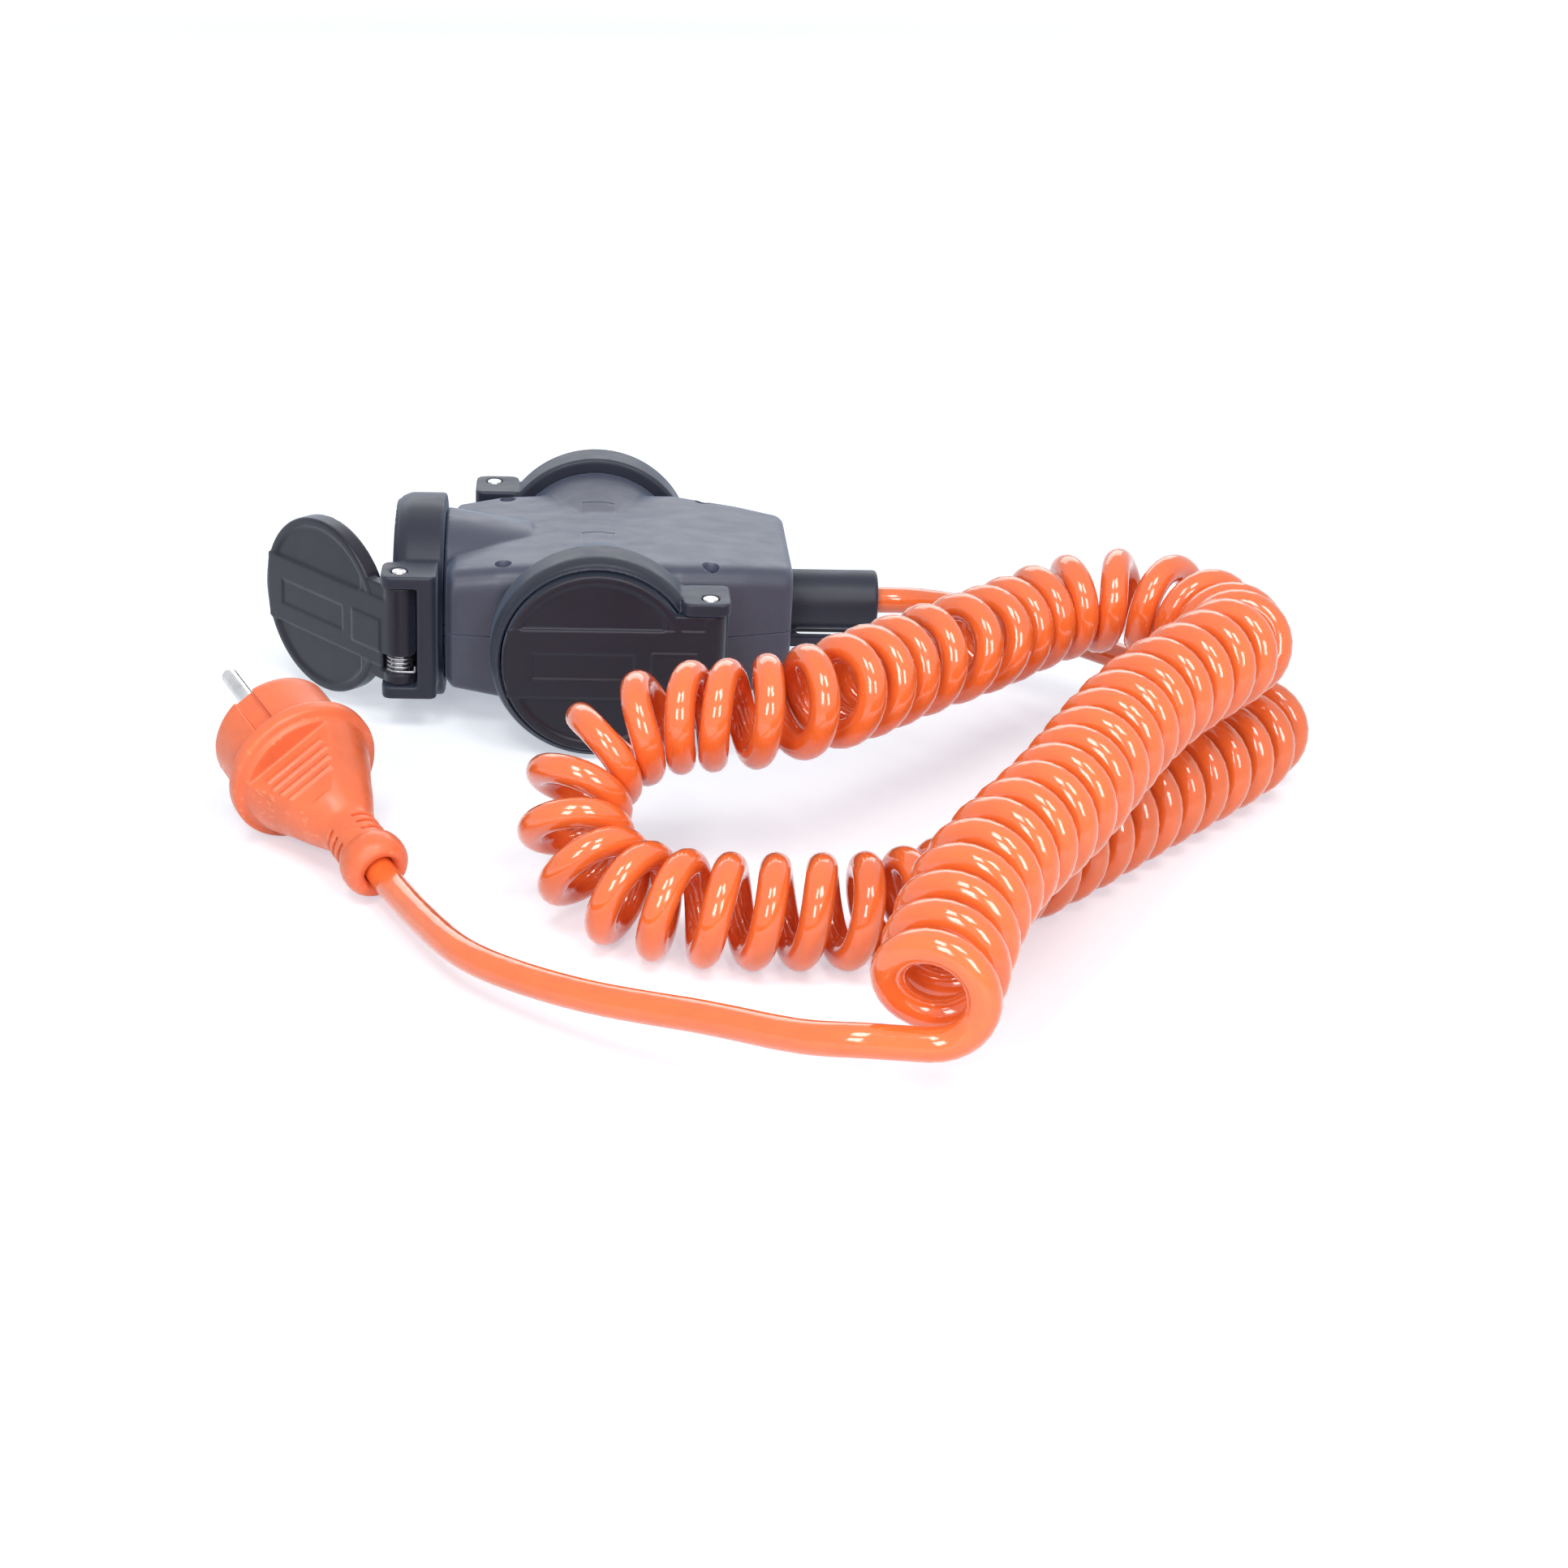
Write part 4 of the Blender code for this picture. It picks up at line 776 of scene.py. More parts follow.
def smooth_curve(route, step):
    """Points at an even step on the natural cubic spline through a route."""
    knots = np.array(route, dtype=float)
    chord = np.sqrt(np.linalg.norm(np.diff(knots, axis=0), axis=1))
    at = np.concatenate(([0.0], np.cumsum(chord)))
    total = len(knots)
    matrix = np.eye(total)
    right = np.zeros((total, 3))
    slope = np.diff(knots, axis=0) / chord[:, None]
    for i in range(1, total - 1):
        matrix[i, i - 1 : i + 2] = (chord[i - 1], 2 * (chord[i - 1] + chord[i]), chord[i])
        right[i] = 6 * (slope[i] - slope[i - 1])
    bend = np.linalg.solve(matrix, right)
    fine = np.linspace(0, at[-1], 100 * total)
    k = np.clip(np.searchsorted(at, fine, side="right") - 1, 0, total - 2)
    width = chord[k][:, None]
    before = (at[k + 1] - fine)[:, None] / width
    after = 1 - before
    curve = before * knots[k] + after * knots[k + 1]
    curve += ((before**3 - before) * bend[k] + (after**3 - after) * bend[k + 1]) * width**2 / 6
    lengths = np.linalg.norm(np.diff(curve, axis=0), axis=1)
    travelled = np.concatenate(([0.0], np.cumsum(lengths)))
    even = np.linspace(0, travelled[-1], max(2, round(travelled[-1] / step) + 1))
    return np.column_stack([np.interp(even, travelled, curve[:, axis]) for axis in range(3)])


def unit(vectors):
    return vectors / np.linalg.norm(vectors, axis=-1, keepdims=True)


def curl_points(cord):
    """Centre line of the curls: a left-handed helix round its route, with straight ends."""
    axis = smooth_curve(CURL_ROUTE, 0.001)
    steps = np.linalg.norm(np.diff(axis, axis=0), axis=1)
    along = unit(np.gradient(axis, axis=0))
    side = unit(np.cross(along, UP))
    up = np.cross(side, along)
    bend = np.linalg.norm(np.gradient(along, axis=0), axis=1) / steps.mean()
    closest = 2 * cord.radius + CURL_GAP
    tightest = closest / (1 - bend * cord.curl_radius)
    whole = math.floor((steps / np.maximum(cord.curl_pitch, tightest)[1:]).sum() - 0.5) + 0.5
    spread_out = np.interp(np.linspace(0, 1, len(axis)), *np.transpose(CURL_SPREAD))
    pitch = np.maximum(cord.curl_pitch * spread_out, tightest)
    turns = np.concatenate(([0.0], np.cumsum(steps / pitch[1:])))
    turns *= whole / turns[-1]
    at = np.arange(round(whole * cord.curl_points) + 1) / cord.curl_points
    centre, rise, across = (
        np.column_stack([np.interp(at, turns, values[:, i]) for i in range(3)])
        for values in (axis, up, side)
    )
    angle = (2 * math.pi * at)[:, None]
    helix = centre + cord.curl_radius * (np.cos(angle) * rise - np.sin(angle) * across)
    turn_length = 2 * math.pi * cord.curl_radius
    start_way = unit(pitch[0] * along[0] - turn_length * side[0])
    end_way = unit(pitch[-1] * along[-1] + turn_length * side[-1])
    straight = 2 * cord.radius
    start = helix[0] - straight * start_way
    end = helix[-1] + straight * end_way
    return np.vstack((start, helix, end)), start_way, end_way


def free_run(cord, start, start_way, route, end, end_way):
    """A cord from one straight end to another, smooth through its route between them."""
    straight = 2 * cord.radius
    knots = [start, start + straight * start_way, *route, end - straight * end_way, end]
    return smooth_curve(knots, cord.step)


def cord_line(cord):
    """The whole centre line: out of the gland, through the curls and into the plug."""
    curls, start_way, end_way = curl_points(cord)
    gland_face = np.array((GLAND_END + GAP, 0, AXIS_HEIGHT))
    tail = free_run(cord, gland_face, np.array((1.0, 0, 0)), TAIL_ROUTE, curls[0], start_way)
    axis = np.array(plug_place().to_3x3() @ Vector((0, 0, 1)))
    bore_end = np.array(PLUG_PLACE) + (PLUG_BORE_DEPTH - GAP) * axis
    lead = free_run(cord, curls[-1], end_way, LEAD_ROUTE, bore_end, axis)
    return np.vstack((tail[:-1], curls, lead[1:])) + np.array(CROSSING)


class MakeCord(bpy.types.Operator):
    """Make the curly cord from the gland to the plug"""

    bl_idname = "distributor.cord"
    bl_label = "Curly cord"

    def execute(self, context):
        cord = context.scene.distributor_cord
        points = cord_line(cord)
        mesh = sheathed(points, cord.radius, cord.sides, "glossy sheath")
        obj = piece(
            "curly_cord", mesh, "glossy sheath", FIXED, ("cord_tail", "cord_curl", "cord_lead"), 60
        )
        return {"FINISHED"}


# Plug


# Heights over the plug's cord end, and the radius of its neck
FLANGE_START = 0.048
FLANGE_END = 0.0524
GRIP_START = 0.027
GRIP_END = 0.0462
NECK_RADIUS = 0.0077
# From the plug's middle to its grip flats, where they start and where they end
GRIP_HALF = (0.0102, 0.0126)
RIB_RADIUS = 0.0006


def plug_shape(plug):
    """Moulded body: bell end, slotted neck, flared grip with ribbed flats, flange and front."""
    body = spun(
        [
            (0, plug.length),
            (plug.front_radius, plug.length, 0.0030),
            (plug.front_radius, FLANGE_END, 0.0004),
            (plug.flange_radius, FLANGE_END, 0.0011),
            (plug.flange_radius, FLANGE_START, 0.0011),
            (0.0194, 0.0474, 0.0005),
            (0.0178, 0.0430, 0.0030),
            (0.0145, 0.0360, 0.0040),
            (0.0120, 0.0295, 0.0040),
            (0.0092, 0.0235, 0.0030),
            (NECK_RADIUS, 0.0205, 0.0015),
            (NECK_RADIUS, 0.0092, 0.0004),
            (0.0088, 0.0086, 0.0012),
            (0.0095, 0.0060, 0.0020),
            (0.0093, 0.0024, 0.0022),
            (0.0074, 0.0000, 0.0012),
            (0.0054, 0.0002, 0.0010),
            (0.0043, 0.0020, 0.0008),
            (0.0043, PLUG_BORE_DEPTH),
            (0, PLUG_BORE_DEPTH),
        ]
    )
    far = 2 * plug.flange_radius
    near_start, near_end = GRIP_HALF
    flats, ribs = [], []
    for side in (-1, 1):
        near = ((near_start, GRIP_START), (near_end, GRIP_END))
        outline = [(side * x, z) for x, z in (*near, (far, GRIP_END), (far, GRIP_START))]
        flats.append(upright(slab(outline, -far, far)))
        ribs.extend(grip_ribs(side))
    grip = joined(cut(body, *flats), *ribs)
    return moulded(cut(grip, *plug_cutters(plug)), *MOULDING["plug"])


def grip_ribs(side):
    """Low ribs with round ends across one flat of the grip."""
    for i in range(4):
        height = 0.0331 + i * 0.0031
        out = np.interp(height, (GRIP_START, GRIP_END), GRIP_HALF)
        half = min(0.0095, 0.0074 + i * 0.0011)
        ends = ((side * out, y, height) for y in (-half, half))
        yield rod(*ends, RIB_RADIUS, segments=16)


def plug_cutters(plug):
    """Slots of the neck, guide grooves, pin holes and recesses of the side contacts."""
    far, beyond = 2 * plug.flange_radius, 2 * plug.length
    web = box((-far, -0.0030, 0), (far, 0.0030, plug.length))
    inner, outer = 0.0061, 2 * NECK_RADIUS
    for i in range(3):
        low = 0.0112 + i * 0.0030
        high = low + 0.0011
        ring = lathe(((outer, high), (outer, low), (inner, low), (inner, high)), 96)
        yield cut(ring, web.copy())
    for side in (-1, 1):
        near, wide = sorted((side * (plug.front_radius - 0.0022), side * far))
        yield box((near, -0.0029, FLANGE_END), (wide, 0.0029, beyond))
        ends = ((side * PIN_OUT, 0, z) for z in (plug.length - 0.009, beyond))
        yield rod(*ends, plug.pin_radius + GAP)
        near, wide = sorted((side * (plug.front_radius - 0.0014), side * far))
        yield box((-0.0033, near, FLANGE_END + 0.0013), (0.0033, wide, beyond))


class MakePlug(bpy.types.Operator):
    """Make the moulded plug with its two pins"""

    bl_idname = "distributor.plug"
    bl_label = "Plug"

    def execute(self, context):
        plug = context.scene.distributor_plug
        there = plug_place()
        shape = placed(plug_shape(plug), there)
        piece("plug_moulding", shape, "plug moulding", FIXED, ("plug_body",), 0)
        tip, foot = plug.length + plug.pin_length, plug.length - 0.0087
        radius = plug.pin_radius
        outline = [(0, tip), (radius, tip, 0.0018), (radius, foot, 0.0003), (0, foot)]
        places = [(-PIN_OUT, 0, 0), (PIN_OUT, 0, 0)]
        pins = placed(repeated(spun(outline, 8, 48), places, "nickel plate"), there)
        piece("plug_pins", pins, "nickel plate", FIXED, ("plug_pin_1", "plug_pin_2"))
        return {"FINISHED"}


# Sockets

# Height of a hinge pin over the seat face, and depth of the ears' pocket under and beside it
HINGE_OUT = 0.001
POCKET_DEPTH = 0.0056
BARREL_RADIUS = 0.005
BARREL_HALF = 0.0157
EAR_START = 0.016
EAR_END = 0.020
LID_UNDERSIDE = 0.0015
SLOT_START = -0.0125
SLOT_END = -0.0065
# Spigot of a collar, which sits in the housing, and its bore
SPIGOT_RADIUS = 0.025
SPIGOT_LENGTH = 0.0062
BORE_RADIUS = 0.0223


def collar_shape(socket):
    """Round collar on a spigot, flat at its foot, with two hinge ears and the barrel's pocket."""
    back = -socket.collar_depth
    spigot_end = back - SPIGOT_LENGTH
    inner = socket.rim_radius - 0.0011
    ring = spun(
        [
            (socket.rim_radius, socket.rim_height, 0.0005),
            (socket.rim_radius, 0.0024, 0.0003),
            (0.0307, 0.0024, 0.0005),
            (socket.collar_radius, -0.0006, 0.0008),
            (socket.collar_radius, back, 0.0012),
            (SPIGOT_RADIUS, back),
            (SPIGOT_RADIUS, spigot_end),
            (BORE_RADIUS, spigot_end),
            (BORE_RADIUS, 0),
            (inner, 0),
            (inner, socket.rim_height, 0.0005),
        ],
        segments=128,
        closed=True,
    )
    hinge = socket.hinge_reach
    outer, near, top = hinge + 0.006, hinge - 0.008, HINGE_OUT + 0.0055
    outline = [
        (0.024, -0.0105),
        (outer, -0.0105, 0.003),
        (outer, top, 0.0036),
        (near, top, 0.0036),
        (near - 0.0004, 0.0002, 0.0012),
        (0.024, -0.0006),
    ]
    ears = upright(slab(eased(outline, 6, closed=True), -EAR_END, EAR_END))
    far, high = 2 * outer, 2 * top
    side, floor = hinge - POCKET_DEPTH, HINGE_OUT - POCKET_DEPTH
    outline = [(0.020, 0), (side, 0), (side, floor), (far, floor), (far, high), (0.020, high)]
    pocket = upright(slab(outline, -EAR_START, EAR_START))
    ends = ((hinge, y, HINGE_OUT) for y in (-2 * EAR_END, 2 * EAR_END))
    bore = rod(*ends, socket.pin_radius + GAP)
    below = 2 * socket.collar_radius
    foot = box((-below, -below, -below), (below, -AXIS_HEIGHT, below))
    soft = moulded(cut(joined(ring, ears), pocket, bore), *MOULDING["collar"])
    return cut(soft, foot)


def lid_shape(socket):
    """Dished lid: bead round its edge, raised band with a sunk bare plate, and hinge barrel."""
    radius, top, hinge = socket.lid_radius, socket.lid_top, socket.hinge_reach
    dish, bead = top - 0.001, top - 0.0002
    disc = spun(
        [
            (0, dish),
            (radius - 0.0032, dish, 0.0004),
            (radius - 0.0026, bead, 0.0004),
            (radius, bead, 0.0009),
            (radius, GAP, 0.0003),
            (radius - 0.0022, GAP, 0.0003),
            (radius - 0.0022, LID_UNDERSIDE, 0.0004),
            (0, LID_UNDERSIDE),
        ],
        segments=128,
    )
    band = box((0.0016 - radius, -socket.band_half, top - 0.002), (hinge, socket.band_half, top))
    neck = box((0.020, -BARREL_HALF, LID_UNDERSIDE + GAP), (hinge, BARREL_HALF, top - 0.0004))
    along = ((hinge, y, HINGE_OUT) for y in (-BARREL_HALF, BARREL_HALF))
    barrel = rod(*along, BARREL_RADIUS)
    pad = box((0.0165, -0.0062, top - 0.001), (0.0300, 0.0040, top + 0.0004))
    slot = rod((hinge, SLOT_START, HINGE_OUT), (hinge, SLOT_END, HINGE_OUT), 0.0054)
    bore = rod((hinge, -1, HINGE_OUT), (hinge, 1, HINGE_OUT), socket.pin_radius + GAP)
    plate = box((-0.0195, -0.0048, top - 0.0004), (0.0115, 0.0036, 2 * top))
    whole = cut(joined(disc, neck, band, barrel, pad), slot, bore, plate)
    return moulded(whole, *MOULDING["lid"])


def seal_shape():
    top = LID_UNDERSIDE - GAP
    corners = ((0.0257, top), (0.0257, GAP), (0.0226, GAP), (0.0226, top))
    return spun([(*corner, GAP) for corner in corners], closed=True)


def insert_shape(socket):
    """Plug cup with two guide ribs, two contact holes and two slots for the earth clip."""
    floor, back = -socket.cup_floor, -0.0245
    cup = spun(
        [
            (0, floor),
            (socket.cup_radius, floor, 0.0008),
            (0.0203, -0.001, 0.0006),
            (BORE_RADIUS - GAP, -0.001, 0.0004),
            (BORE_RADIUS - GAP, back),
            (0, back),
        ],
        segments=128,
    )
    ribs, tools = [], []
    for side in (-1, 1):
        near, far = sorted((side * (socket.cup_radius - 0.0021), side * 0.021))
        ribs.append(box((near, -0.0024, floor - GAP), (far, 0.0024, -0.002)))
        x = side * PIN_OUT
        tools.append(rod((x, 0, -1), (x, 0, 0), 0.0029))
        tools.append(rod((x, 0, -1), (x, 0, -0.0205), 0.0035))
        tools.append(rod((x, 0, floor - 0.0006), (x, 0, floor + 0.0001), 0.0029, 0.0036))
        y = side * 0.0186
        tools.append(box((-0.0033, y - 0.0007, -1), (0.0033, y + 0.0007, floor / 2)))
    return cut(joined(cup, *ribs), *tools)


def pin_shape(socket):
    """Through pin with turned ends, on the hinge's axis."""
    end = EAR_END + 0.0001
    radius = socket.pin_radius
    pin = spun([(0, end), (radius, end, 0.0007), (radius, -end, 0.0007), (0, -end)], 5, 48)
    upright(pin).transform(Matrix.Translation((socket.hinge_reach, 0, HINGE_OUT)))
    return pin


def spring_line(socket):
    """Centre line of a lid spring: a leg on the pocket's floor, its turns and a short end."""
    wire, radius, turns, pitch, tail = 0.00045, 0.0039, 3.25, 0.00135, 0.002
    start = (SLOT_START + SLOT_END - turns * pitch) / 2
    foot = HINGE_OUT - POCKET_DEPTH + wire + GAP
    side = socket.hinge_reach + radius
    leg = ((tail, 0), (0.0006, 0), (0.0001, 0.0002), (0, 0.0008))
    points = [(side, start + out, foot + rise) for out, rise in leg]
    for i in range(round(turns * 24) + 1):
        angle = math.radians(15 * i)
        x = socket.hinge_reach + radius * math.cos(angle)
        z = HINGE_OUT + radius * math.sin(angle)
        points.append((x, start + pitch * i / 24, z))
    x, y, z = points[-1]
    points.append((x - tail, y, z))
    return points, wire


class MakeSockets(bpy.types.Operator):
    """Make the three sockets: collar, cup, pin and spring, and the lid with its seal"""

    bl_idname = "distributor.sockets"
    bl_label = "Sockets and lids"

    def execute(self, context):
        socket = context.scene.distributor_socket
        collar, lid, insert = collar_shape(socket), lid_shape(socket), insert_shape(socket)
        seal, pin = seal_shape(), pin_shape(socket)
        points, wire = spring_line(socket)
        spring = sheathed(points, wire, 12, "spring steel")
        for name, (_, _, _, lid_body) in SOCKETS.items():
            here = socket_place(name)
            lifted = hinge_place(name, socket.hinge_reach, HINGE_OUT)
            rows = (
                ("collar", collar, "collar rubber", FIXED, here, 0),
                ("insert", insert, "cup plastic", FIXED, here, 30),
                ("hinge_pin", pin, "nickel plate", FIXED, here, 40),
                ("lid_spring", spring, "spring steel", FIXED, here, 60),
                ("lid", lid, "lid rubber", lid_body, lifted, 0),
                ("lid_seal", seal, "seal rubber", lid_body, lifted, 40),
            )
            for part, mesh, finish, body, place, sharp in rows:
                node = f"{part}_{name}"
                piece(f"{node}_finished", placed(mesh, place), finish, body, (node,), sharp)
        return {"FINISHED"}


# Housing


def housing_rings(housing, inset):
    """Rounded sections of the housing from its left end to its right, each set in by a wall."""
    left, right = inset - 0.0460, 0.060 - inset
    sections = (
        (left, 0.0040, 0.0051),
        (left + 0.002, 0.0020, 0.0031),
        (-0.030, 0.0002, 0.0011),
        (-0.010, 0, 0),
        (0.025, 0, 0),
        (0.045, 0.0045, 0.0016),
        (right - 0.002, 0.0080, 0.0033),
        (right, 0.0095, 0.0046),
    )
    rings = []
    for x, narrower, lower in sections:
        half_width = housing.half_width - inset - narrower
        half_height = housing.half_height - inset - lower
        corner = housing.corner - inset
        outline = eased(
            [
                (half_width, half_height, corner),
                (-half_width, half_height, corner),
                (-half_width, -half_height, corner),
                (half_width, -half_height, corner),
            ],
            8,
            closed=True,
        )
        rings.append([(x, y, z + AXIS_HEIGHT) for y, z in outline])
    return rings


def raised(mesh):
    """Lifts a shape to the height of the sockets' axes."""
    mesh.transform(Matrix.Translation((0, 0, AXIS_HEIGHT)))
    return mesh


def housing_form(housing):
    """Outer form of the housing with its three flared tubes."""
    end, middle = 0.0399, 0.014
    waist, mouth = 0.023, 0.028
    outline = ((0, end), (mouth, end), (waist, middle), (waist, -middle), (mouth, -end), (0, -end))
    tubes = raised(upright(lathe(outline, 96)))
    left = rod((-0.0469, 0, AXIS_HEIGHT), (-0.020, 0, AXIS_HEIGHT), 0.0275, waist, 96)
    form = joined(loft(housing_rings(housing, 0)), tubes, left)
    return moulded(form, *MOULDING["housing"])


# Places of the screws and their seat, and each step of their holes: ends, radii and faces round it
SCREW_SEAT = 0.0403
SCREW_SPOTS = ((-0.0286, -0.0301), (-0.0286, 0.0301), (0.0346, -0.0301), (0.0346, 0.0301))
SCREW_HOLE = (
    (0.0199, 0.0400, 0.0018, 0.0018, 24),
    (0.0400, 0.0700, 0.0025, 0.0025, 32),
    (0.0526, 0.0546, 0.0025, 0.0036, 32),
)
# Middles of the stamped fields across the housing, and their depth
STAMP_MIDDLES = (-0.0085, 0.0165)
STAMP_DEPTH = 0.00012


def housing_cutters(housing):
    """Hollow of the housing, the collars' seats, and the holes for screws, gland and strap."""
    yield loft(housing_rings(housing, 0.003))
    centre = Vector((0, 0, AXIS_HEIGHT))
    for turn, reach, _, _ in SOCKETS.values():
        angle = math.radians(turn - 90)
        way = Vector((math.cos(angle), math.sin(angle), 0))
        for depth, radius in ((0.0183, SPIGOT_RADIUS + GAP), (0.0259, BORE_RADIUS)):
            yield rod(centre + way * (reach - depth), centre + way * reach, radius)
    for x, y in SCREW_SPOTS:
        for low, high, *shape in SCREW_HOLE:
            yield rod((x, y, low), (x, y, high), *shape)
    start, end, half = 0.0555, 0.063, 0.0083
    yield rod((start, 0, AXIS_HEIGHT), (end, 0, AXIS_HEIGHT), half)
    yield box((start, -half, 0.0181), (end, half, 0.0217))


def stamped_fields(form):
    """Two bare fields in the top, each with its floor a hair's breadth under the surface."""
    under = placed(form, Matrix.Translation((0, 0, -STAMP_DEPTH)))
    for y in STAMP_MIDDLES:
        yield cut(box((-0.0046, y - 0.0044, 0.050), (0.0058, y + 0.0044, 0.060)), under.copy())


def screw_shape():
    """Round-head screw with a cross recess, its head resting on z = 0."""
    head, shank = 0.0022, 0.0015
    top = 0.0021
    outline = [(0, top), (head, top, 0.0008), (head, 0, 0.0002)]
    screw = spun([*outline, (shank, 0), (shank, -0.0185), (0, -0.020)], segments=40)
    sizes = ((0.0013, 0.00035), (0.00035, 0.0013))
    return cut(screw, *(box((-a, -b, 0.0009), (a, b, 0.003)) for a, b in sizes))


class MakeHousing(bpy.types.Operator):
    """Make both half shells, their screws, the cord gland and the hanging strap"""

    bl_idname = "distributor.housing"
    bl_label = "Housing"

    def execute(self, context):
        housing = context.scene.distributor_housing
        form = housing_form(housing)
        whole = cut(form, *stamped_fields(form), *housing_cutters(housing))
        far = 0.2
        above = box((-far, -far, AXIS_HEIGHT - GAP / 2), (far, far, far))
        below = box((-far, -far, -far), (far, far, AXIS_HEIGHT + GAP / 2))
        for name, cutter in (("housing_lower", above), ("housing_upper", below)):
            half = placed(cut(whole.copy(), cutter), crossing())
            piece(f"{name}_finished", half, "charcoal rubber", FIXED, (name,), 40)
        places = [(x, y, SCREW_SEAT) for x, y in SCREW_SPOTS]
        screws = placed(repeated(screw_shape(), places, "nickel plate"), crossing())
        nodes = [f"housing_screw_{number}" for number in range(1, 5)]
        piece("housing_screws", screws, "nickel plate", FIXED, nodes, 30)
        self.make_gland(housing.gland_radius)
        self.make_strap(housing.gland_radius)
        return {"FINISHED"}

    def make_gland(self, radius):
        """Plain rubber cylinder with a soft end, on a neck and a flange inside the housing."""
        neck_start, neck_end = 0.0567, 0.0603
        flange_end = 0.0545
        outline = [
            (radius, GLAND_END, 0.0014),
            (radius, neck_end, 0.0006),
            (0.008, neck_end),
            (0.008, neck_start),
            (0.0096, neck_start),
            (0.0096, flange_end),
            (0.0044, flange_end),
            (0.0044, GLAND_END, 0.0007),
        ]
        gland = spun(outline, 6, closed=True)
        gland.transform(rotation(90, "Y"))
        shape = placed(raised(gland), crossing())
        piece("cable_gland_finished", shape, "collar rubber", FIXED, ("cable_gland",))

    def make_strap(self, gland_radius):
        """Flat band with an eye, held by its head inside the housing."""
        head_start, head_end, end = 0.0549, 0.0567, 0.0868
        outline = [
            (head_start, 0.0105, 0.0005),
            (head_start, -0.0105, 0.0005),
            (head_end, -0.0105, 0.0003),
            (head_end, -0.008),
            (end, -0.008, 0.004),
            (end, 0.008, 0.004),
            (head_end, 0.008),
            (head_end, 0.0105, 0.0003),
        ]
        corners = ((0.0833, 0.0045), (0.0638, 0.0045), (0.0638, -0.0045), (0.0833, -0.0045))
        eye = eased([(*corner, 0.0018) for corner in corners], 6, closed=True)
        top = AXIS_HEIGHT - gland_radius - 2 * GAP
        band = slab(eased(outline, 6, closed=True), top - 0.003, top, eye)
        shape = placed(bevelled(band, 0.0006), crossing())
        piece("hanging_strap_finished", shape, "collar rubber", FIXED, ("hanging_strap",))


class FinishInnerPieces(bpy.types.Operator):
    """Give the contacts, bars, clips and clamp inside their finishes"""

    bl_idname = "distributor.inner"
    bl_label = "Inner pieces"

    def execute(self, context):
        finishes = {
            "contact_": "contact brass",
            "busbar_": "contact brass",
            "earth_clip_": "nickel plate",
            "plug_earth_clip_": "nickel plate",
            "clamp_screw_": "nickel plate",
            "cable_clamp": "clamp plastic",
            "cord_stub": "glossy sheath",
        }
        for start, finish in finishes.items():
            nodes = [obj for name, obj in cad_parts.items() if name.startswith(start)]
            if not nodes:
                raise RuntimeError(f"no piece starts with {start}")
            for node in nodes:
                for slot in node.material_slots:
                    slot.material = material_of(finish)
        return {"FINISHED"}


class MakeFinishes(bpy.types.Operator):
    """Make the materials of every finish"""

    bl_idname = "distributor.finishes"
    bl_label = "Finishes"

    def execute(self, context):
        housing = context.scene.distributor_housing
        # The housing's lighter, bluer rubber and the darker collar and lid rubbers are painted
        # sheen and painted shade on one charcoal rubber
        rubber_finish("charcoal rubber", tuple(housing.shell), 0.40, 0.5, 0.35)
        rubber_finish("collar rubber", tuple(housing.collar), 0.44, 0.35, 0.2)
        rubber_finish("lid rubber", tuple(housing.lid), 0.36, 0.32, 0.35)
        plastic_finish("cup plastic", (0.014, 0.014, 0.016), 0.36)
        plastic_finish("seal rubber", (0.018, 0.018, 0.019), 0.7)
        plastic_finish("clamp plastic", (0.60, 0.60, 0.58), 0.5)
        metal_finish("nickel plate", (0.66, 0.66, 0.67), 0.24)
        metal_finish("spring steel", (0.30, 0.30, 0.32), 0.34)
        metal_finish("contact brass", (0.74, 0.55, 0.24), 0.3)
        sheath_finish("glossy sheath", tuple(context.scene.distributor_cord.colour))
        plug_finish("plug moulding", tuple(context.scene.distributor_plug.colour))
        return {"FINISHED"}


# Stage


def shown_rays(tree):
    """1 for rays that see the background: straight from the camera, or by a gloss or glass."""
    rays = add(tree, "ShaderNodeLightPath").outputs
    seen = worked(tree, "MAXIMUM", rays["Is Camera Ray"], rays["Is Glossy Ray"])
    return worked(tree, "MAXIMUM", seen, rays["Is Transmission Ray"])


def soft_box(name, away, sizes, power):
    """A flat lamp at some way from the lit point, which it faces."""
    light = bpy.data.lights.new(name, "AREA")
    light.shape = "RECTANGLE"
    light.size, light.size_y = sizes
    light.energy = power
    obj = added(name, light)
    obj.location = LIT_POINT + away
    obj.rotation_euler = (-away).to_track_quat("-Z", "Y").to_euler()


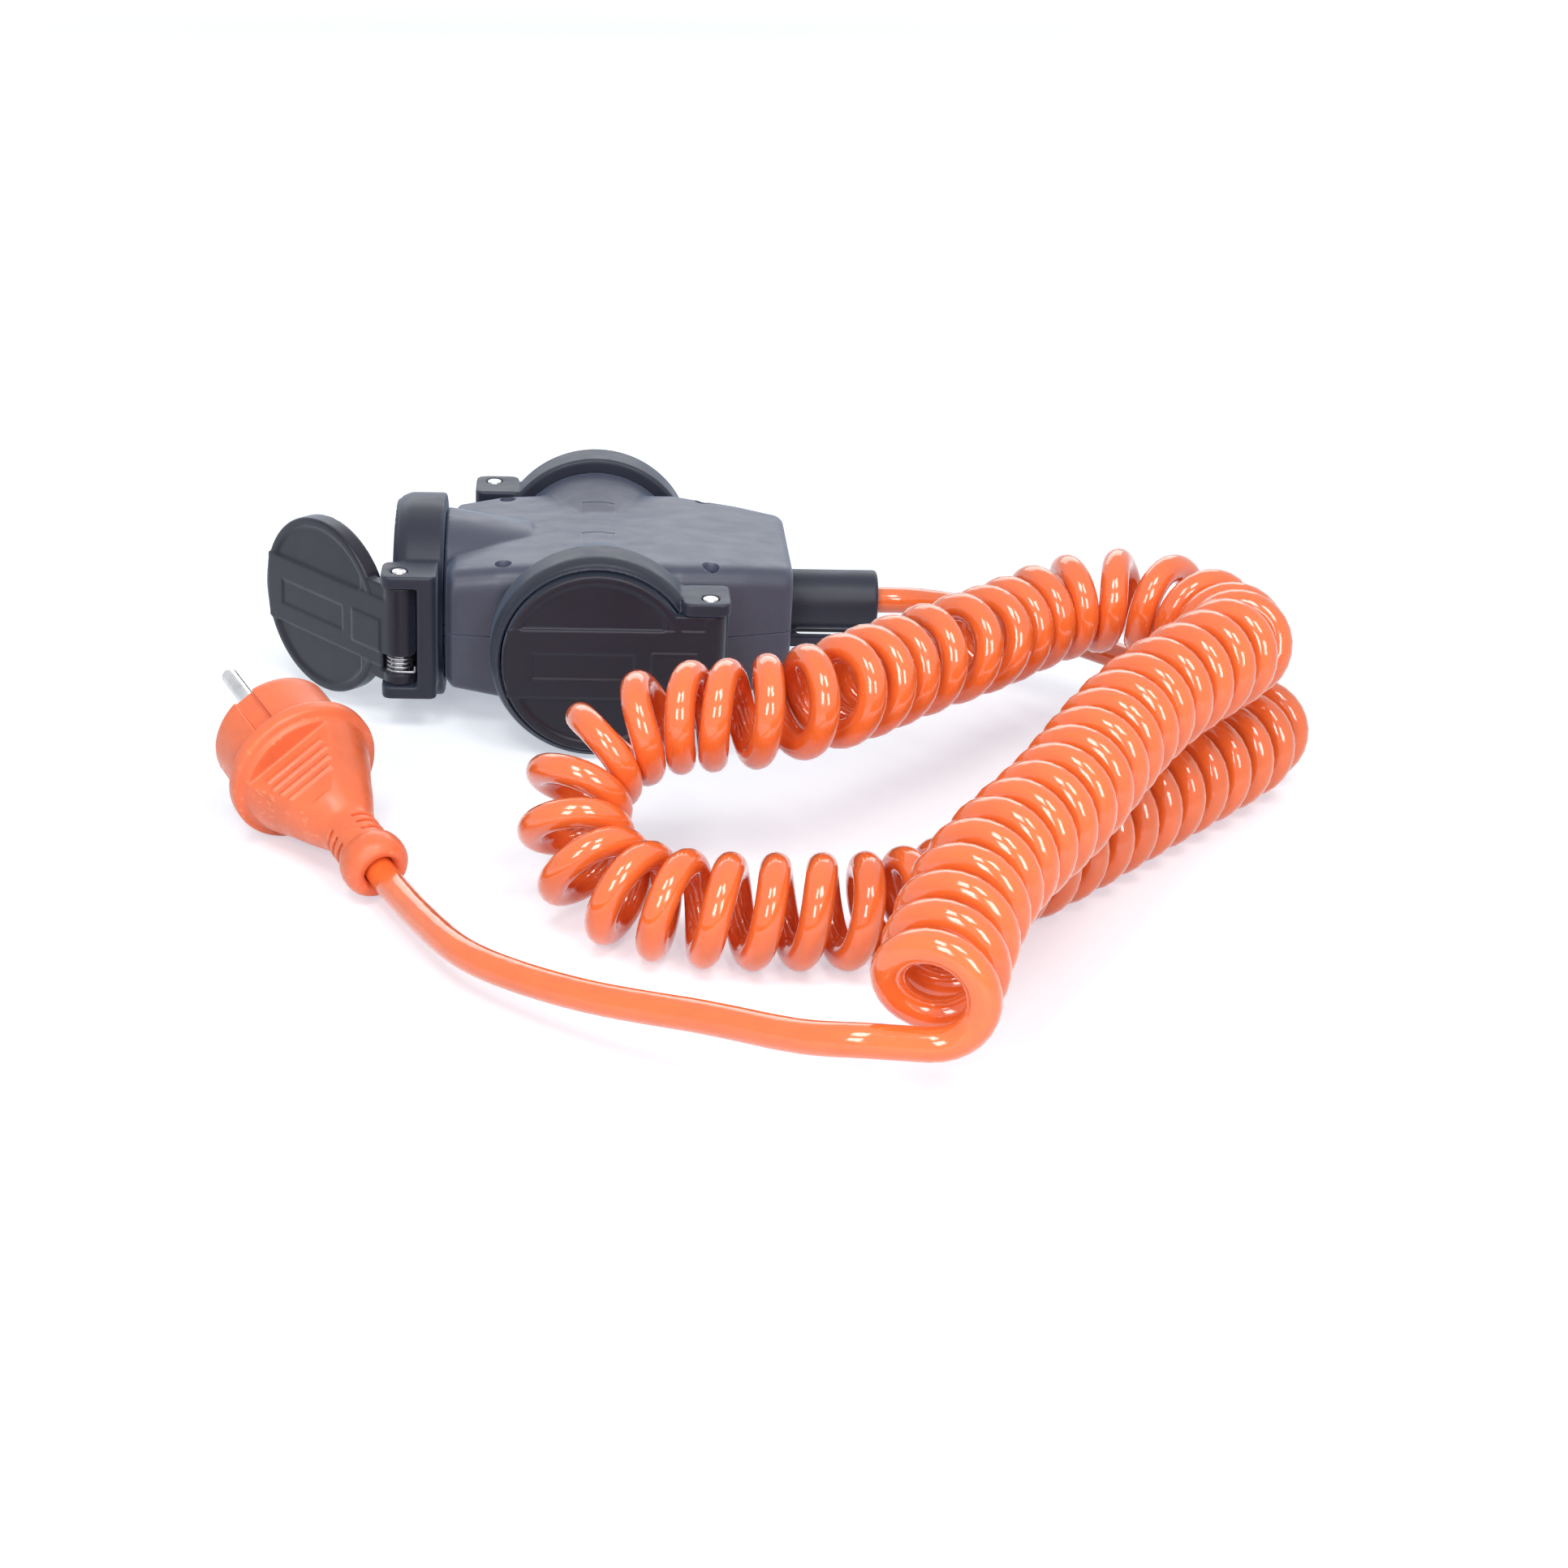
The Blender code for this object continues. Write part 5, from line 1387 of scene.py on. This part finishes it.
class MakeStage(bpy.types.Operator):
    """Make the camera, the lights, the white background and the floor"""

    bl_idname = "distributor.stage"
    bl_label = "Stage"

    def execute(self, context):
        scene = context.scene
        scene.view_settings.view_transform = "Standard"
        stage = scene.distributor_stage
        camera = bpy.data.cameras.new("camera")
        camera.sensor_width = CAMERA_SENSOR
        camera.lens = CAMERA_LENS
        camera.shift_x = CAMERA_SHIFT
        eye = added("camera", camera)
        eye.location = CAMERA_PLACE
        eye.rotation_euler = (math.radians(90 - CAMERA_PITCH), 0, math.radians(CAMERA_YAW))
        scene.camera = eye
        for side in (-1, 1):
            for out, forward, high in STRIP_PLACES:
                away = Vector((side * out, -forward, high))
                soft_box("strip light", away, STRIP_SIZE, stage.key_light)
        soft_box("back soft box", BACK_PLACE, BACK_SIZE, stage.back_light)
        self.make_world(scene, stage)
        self.make_floor(stage)
        return {"FINISHED"}

    def make_world(self, scene, stage):
        world = bpy.data.worlds.new("studio")
        world.use_nodes = True
        scene.world = world
        tree = world.node_tree
        strength = spread(tree, shown_rays(tree), stage.world_light, 1.0, 0, 1)
        filled(tree.nodes["Background"], Color=(0.97, 0.98, 1.0, 1), Strength=strength)

    def make_floor(self, stage):
        """A floor that takes shadows and glows to white for the rays that see it."""
        bm = bmesh.new()
        bmesh.ops.create_grid(bm, x_segments=1, y_segments=1, size=6)
        floor = added("floor", finished(bm))
        tree, shader = shader_tree("white floor")
        place = add(tree, "ShaderNodeTexCoord").outputs["Object"]
        away = add(tree, "ShaderNodeVectorMath", operation="LENGTH")
        feed(away.inputs[0], place)
        glow = spread(tree, away.outputs["Value"], 0.50, 1.1, 0.6, 1.8)
        filled(
            shader,
            Base_Color=(*stage.floor, 1),
            Roughness=0.85,
            Specular_IOR_Level=0.1,
            Emission_Color=(0.82, 0.89, 1.0, 1),
            Emission_Strength=worked(tree, "MULTIPLY", shown_rays(tree), glow),
        )
        floor.data.materials.append(material_of("white floor"))


class DistributorPanel(bpy.types.Panel):
    """Buttons and sizes of the distributor"""

    bl_idname = "VIEW3D_PT_distributor"
    bl_label = "Distributor"
    bl_space_type = "VIEW_3D"
    bl_region_type = "UI"
    bl_category = "Distributor"

    def draw(self, context):
        for operator in OPERATORS:
            self.layout.operator(operator.bl_idname)
        for name, group in SETTINGS.items():
            rows = self.layout.box()
            settings = getattr(context.scene, name)
            for key in group.__annotations__:
                rows.prop(settings, key)


SETTINGS = {
    "distributor_cord": CordSettings,
    "distributor_socket": SocketSettings,
    "distributor_housing": HousingSettings,
    "distributor_plug": PlugSettings,
    "distributor_stage": StageSettings,
}
OPERATORS = (
    MakeFinishes,
    MakeHousing,
    MakeSockets,
    MakePlug,
    MakeCord,
    FinishInnerPieces,
    MakeStage,
)


def register():
    for group in SETTINGS.values():
        bpy.utils.register_class(group)
    for name, group in SETTINGS.items():
        setattr(bpy.types.Scene, name, PointerProperty(type=group))
    for kind in (*OPERATORS, DistributorPanel):
        bpy.utils.register_class(kind)


def unregister():
    for kind in (DistributorPanel, *reversed(OPERATORS)):
        bpy.utils.unregister_class(kind)
    for name in SETTINGS:
        delattr(bpy.types.Scene, name)
    for group in SETTINGS.values():
        bpy.utils.unregister_class(group)


def main():
    register()
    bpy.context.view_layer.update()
    bpy.ops.distributor.finishes()
    bpy.ops.distributor.housing()
    bpy.ops.distributor.sockets()
    bpy.ops.distributor.plug()
    bpy.ops.distributor.cord()
    bpy.ops.distributor.inner()
    bpy.ops.distributor.stage()


if __name__ == "__main__":
    main()
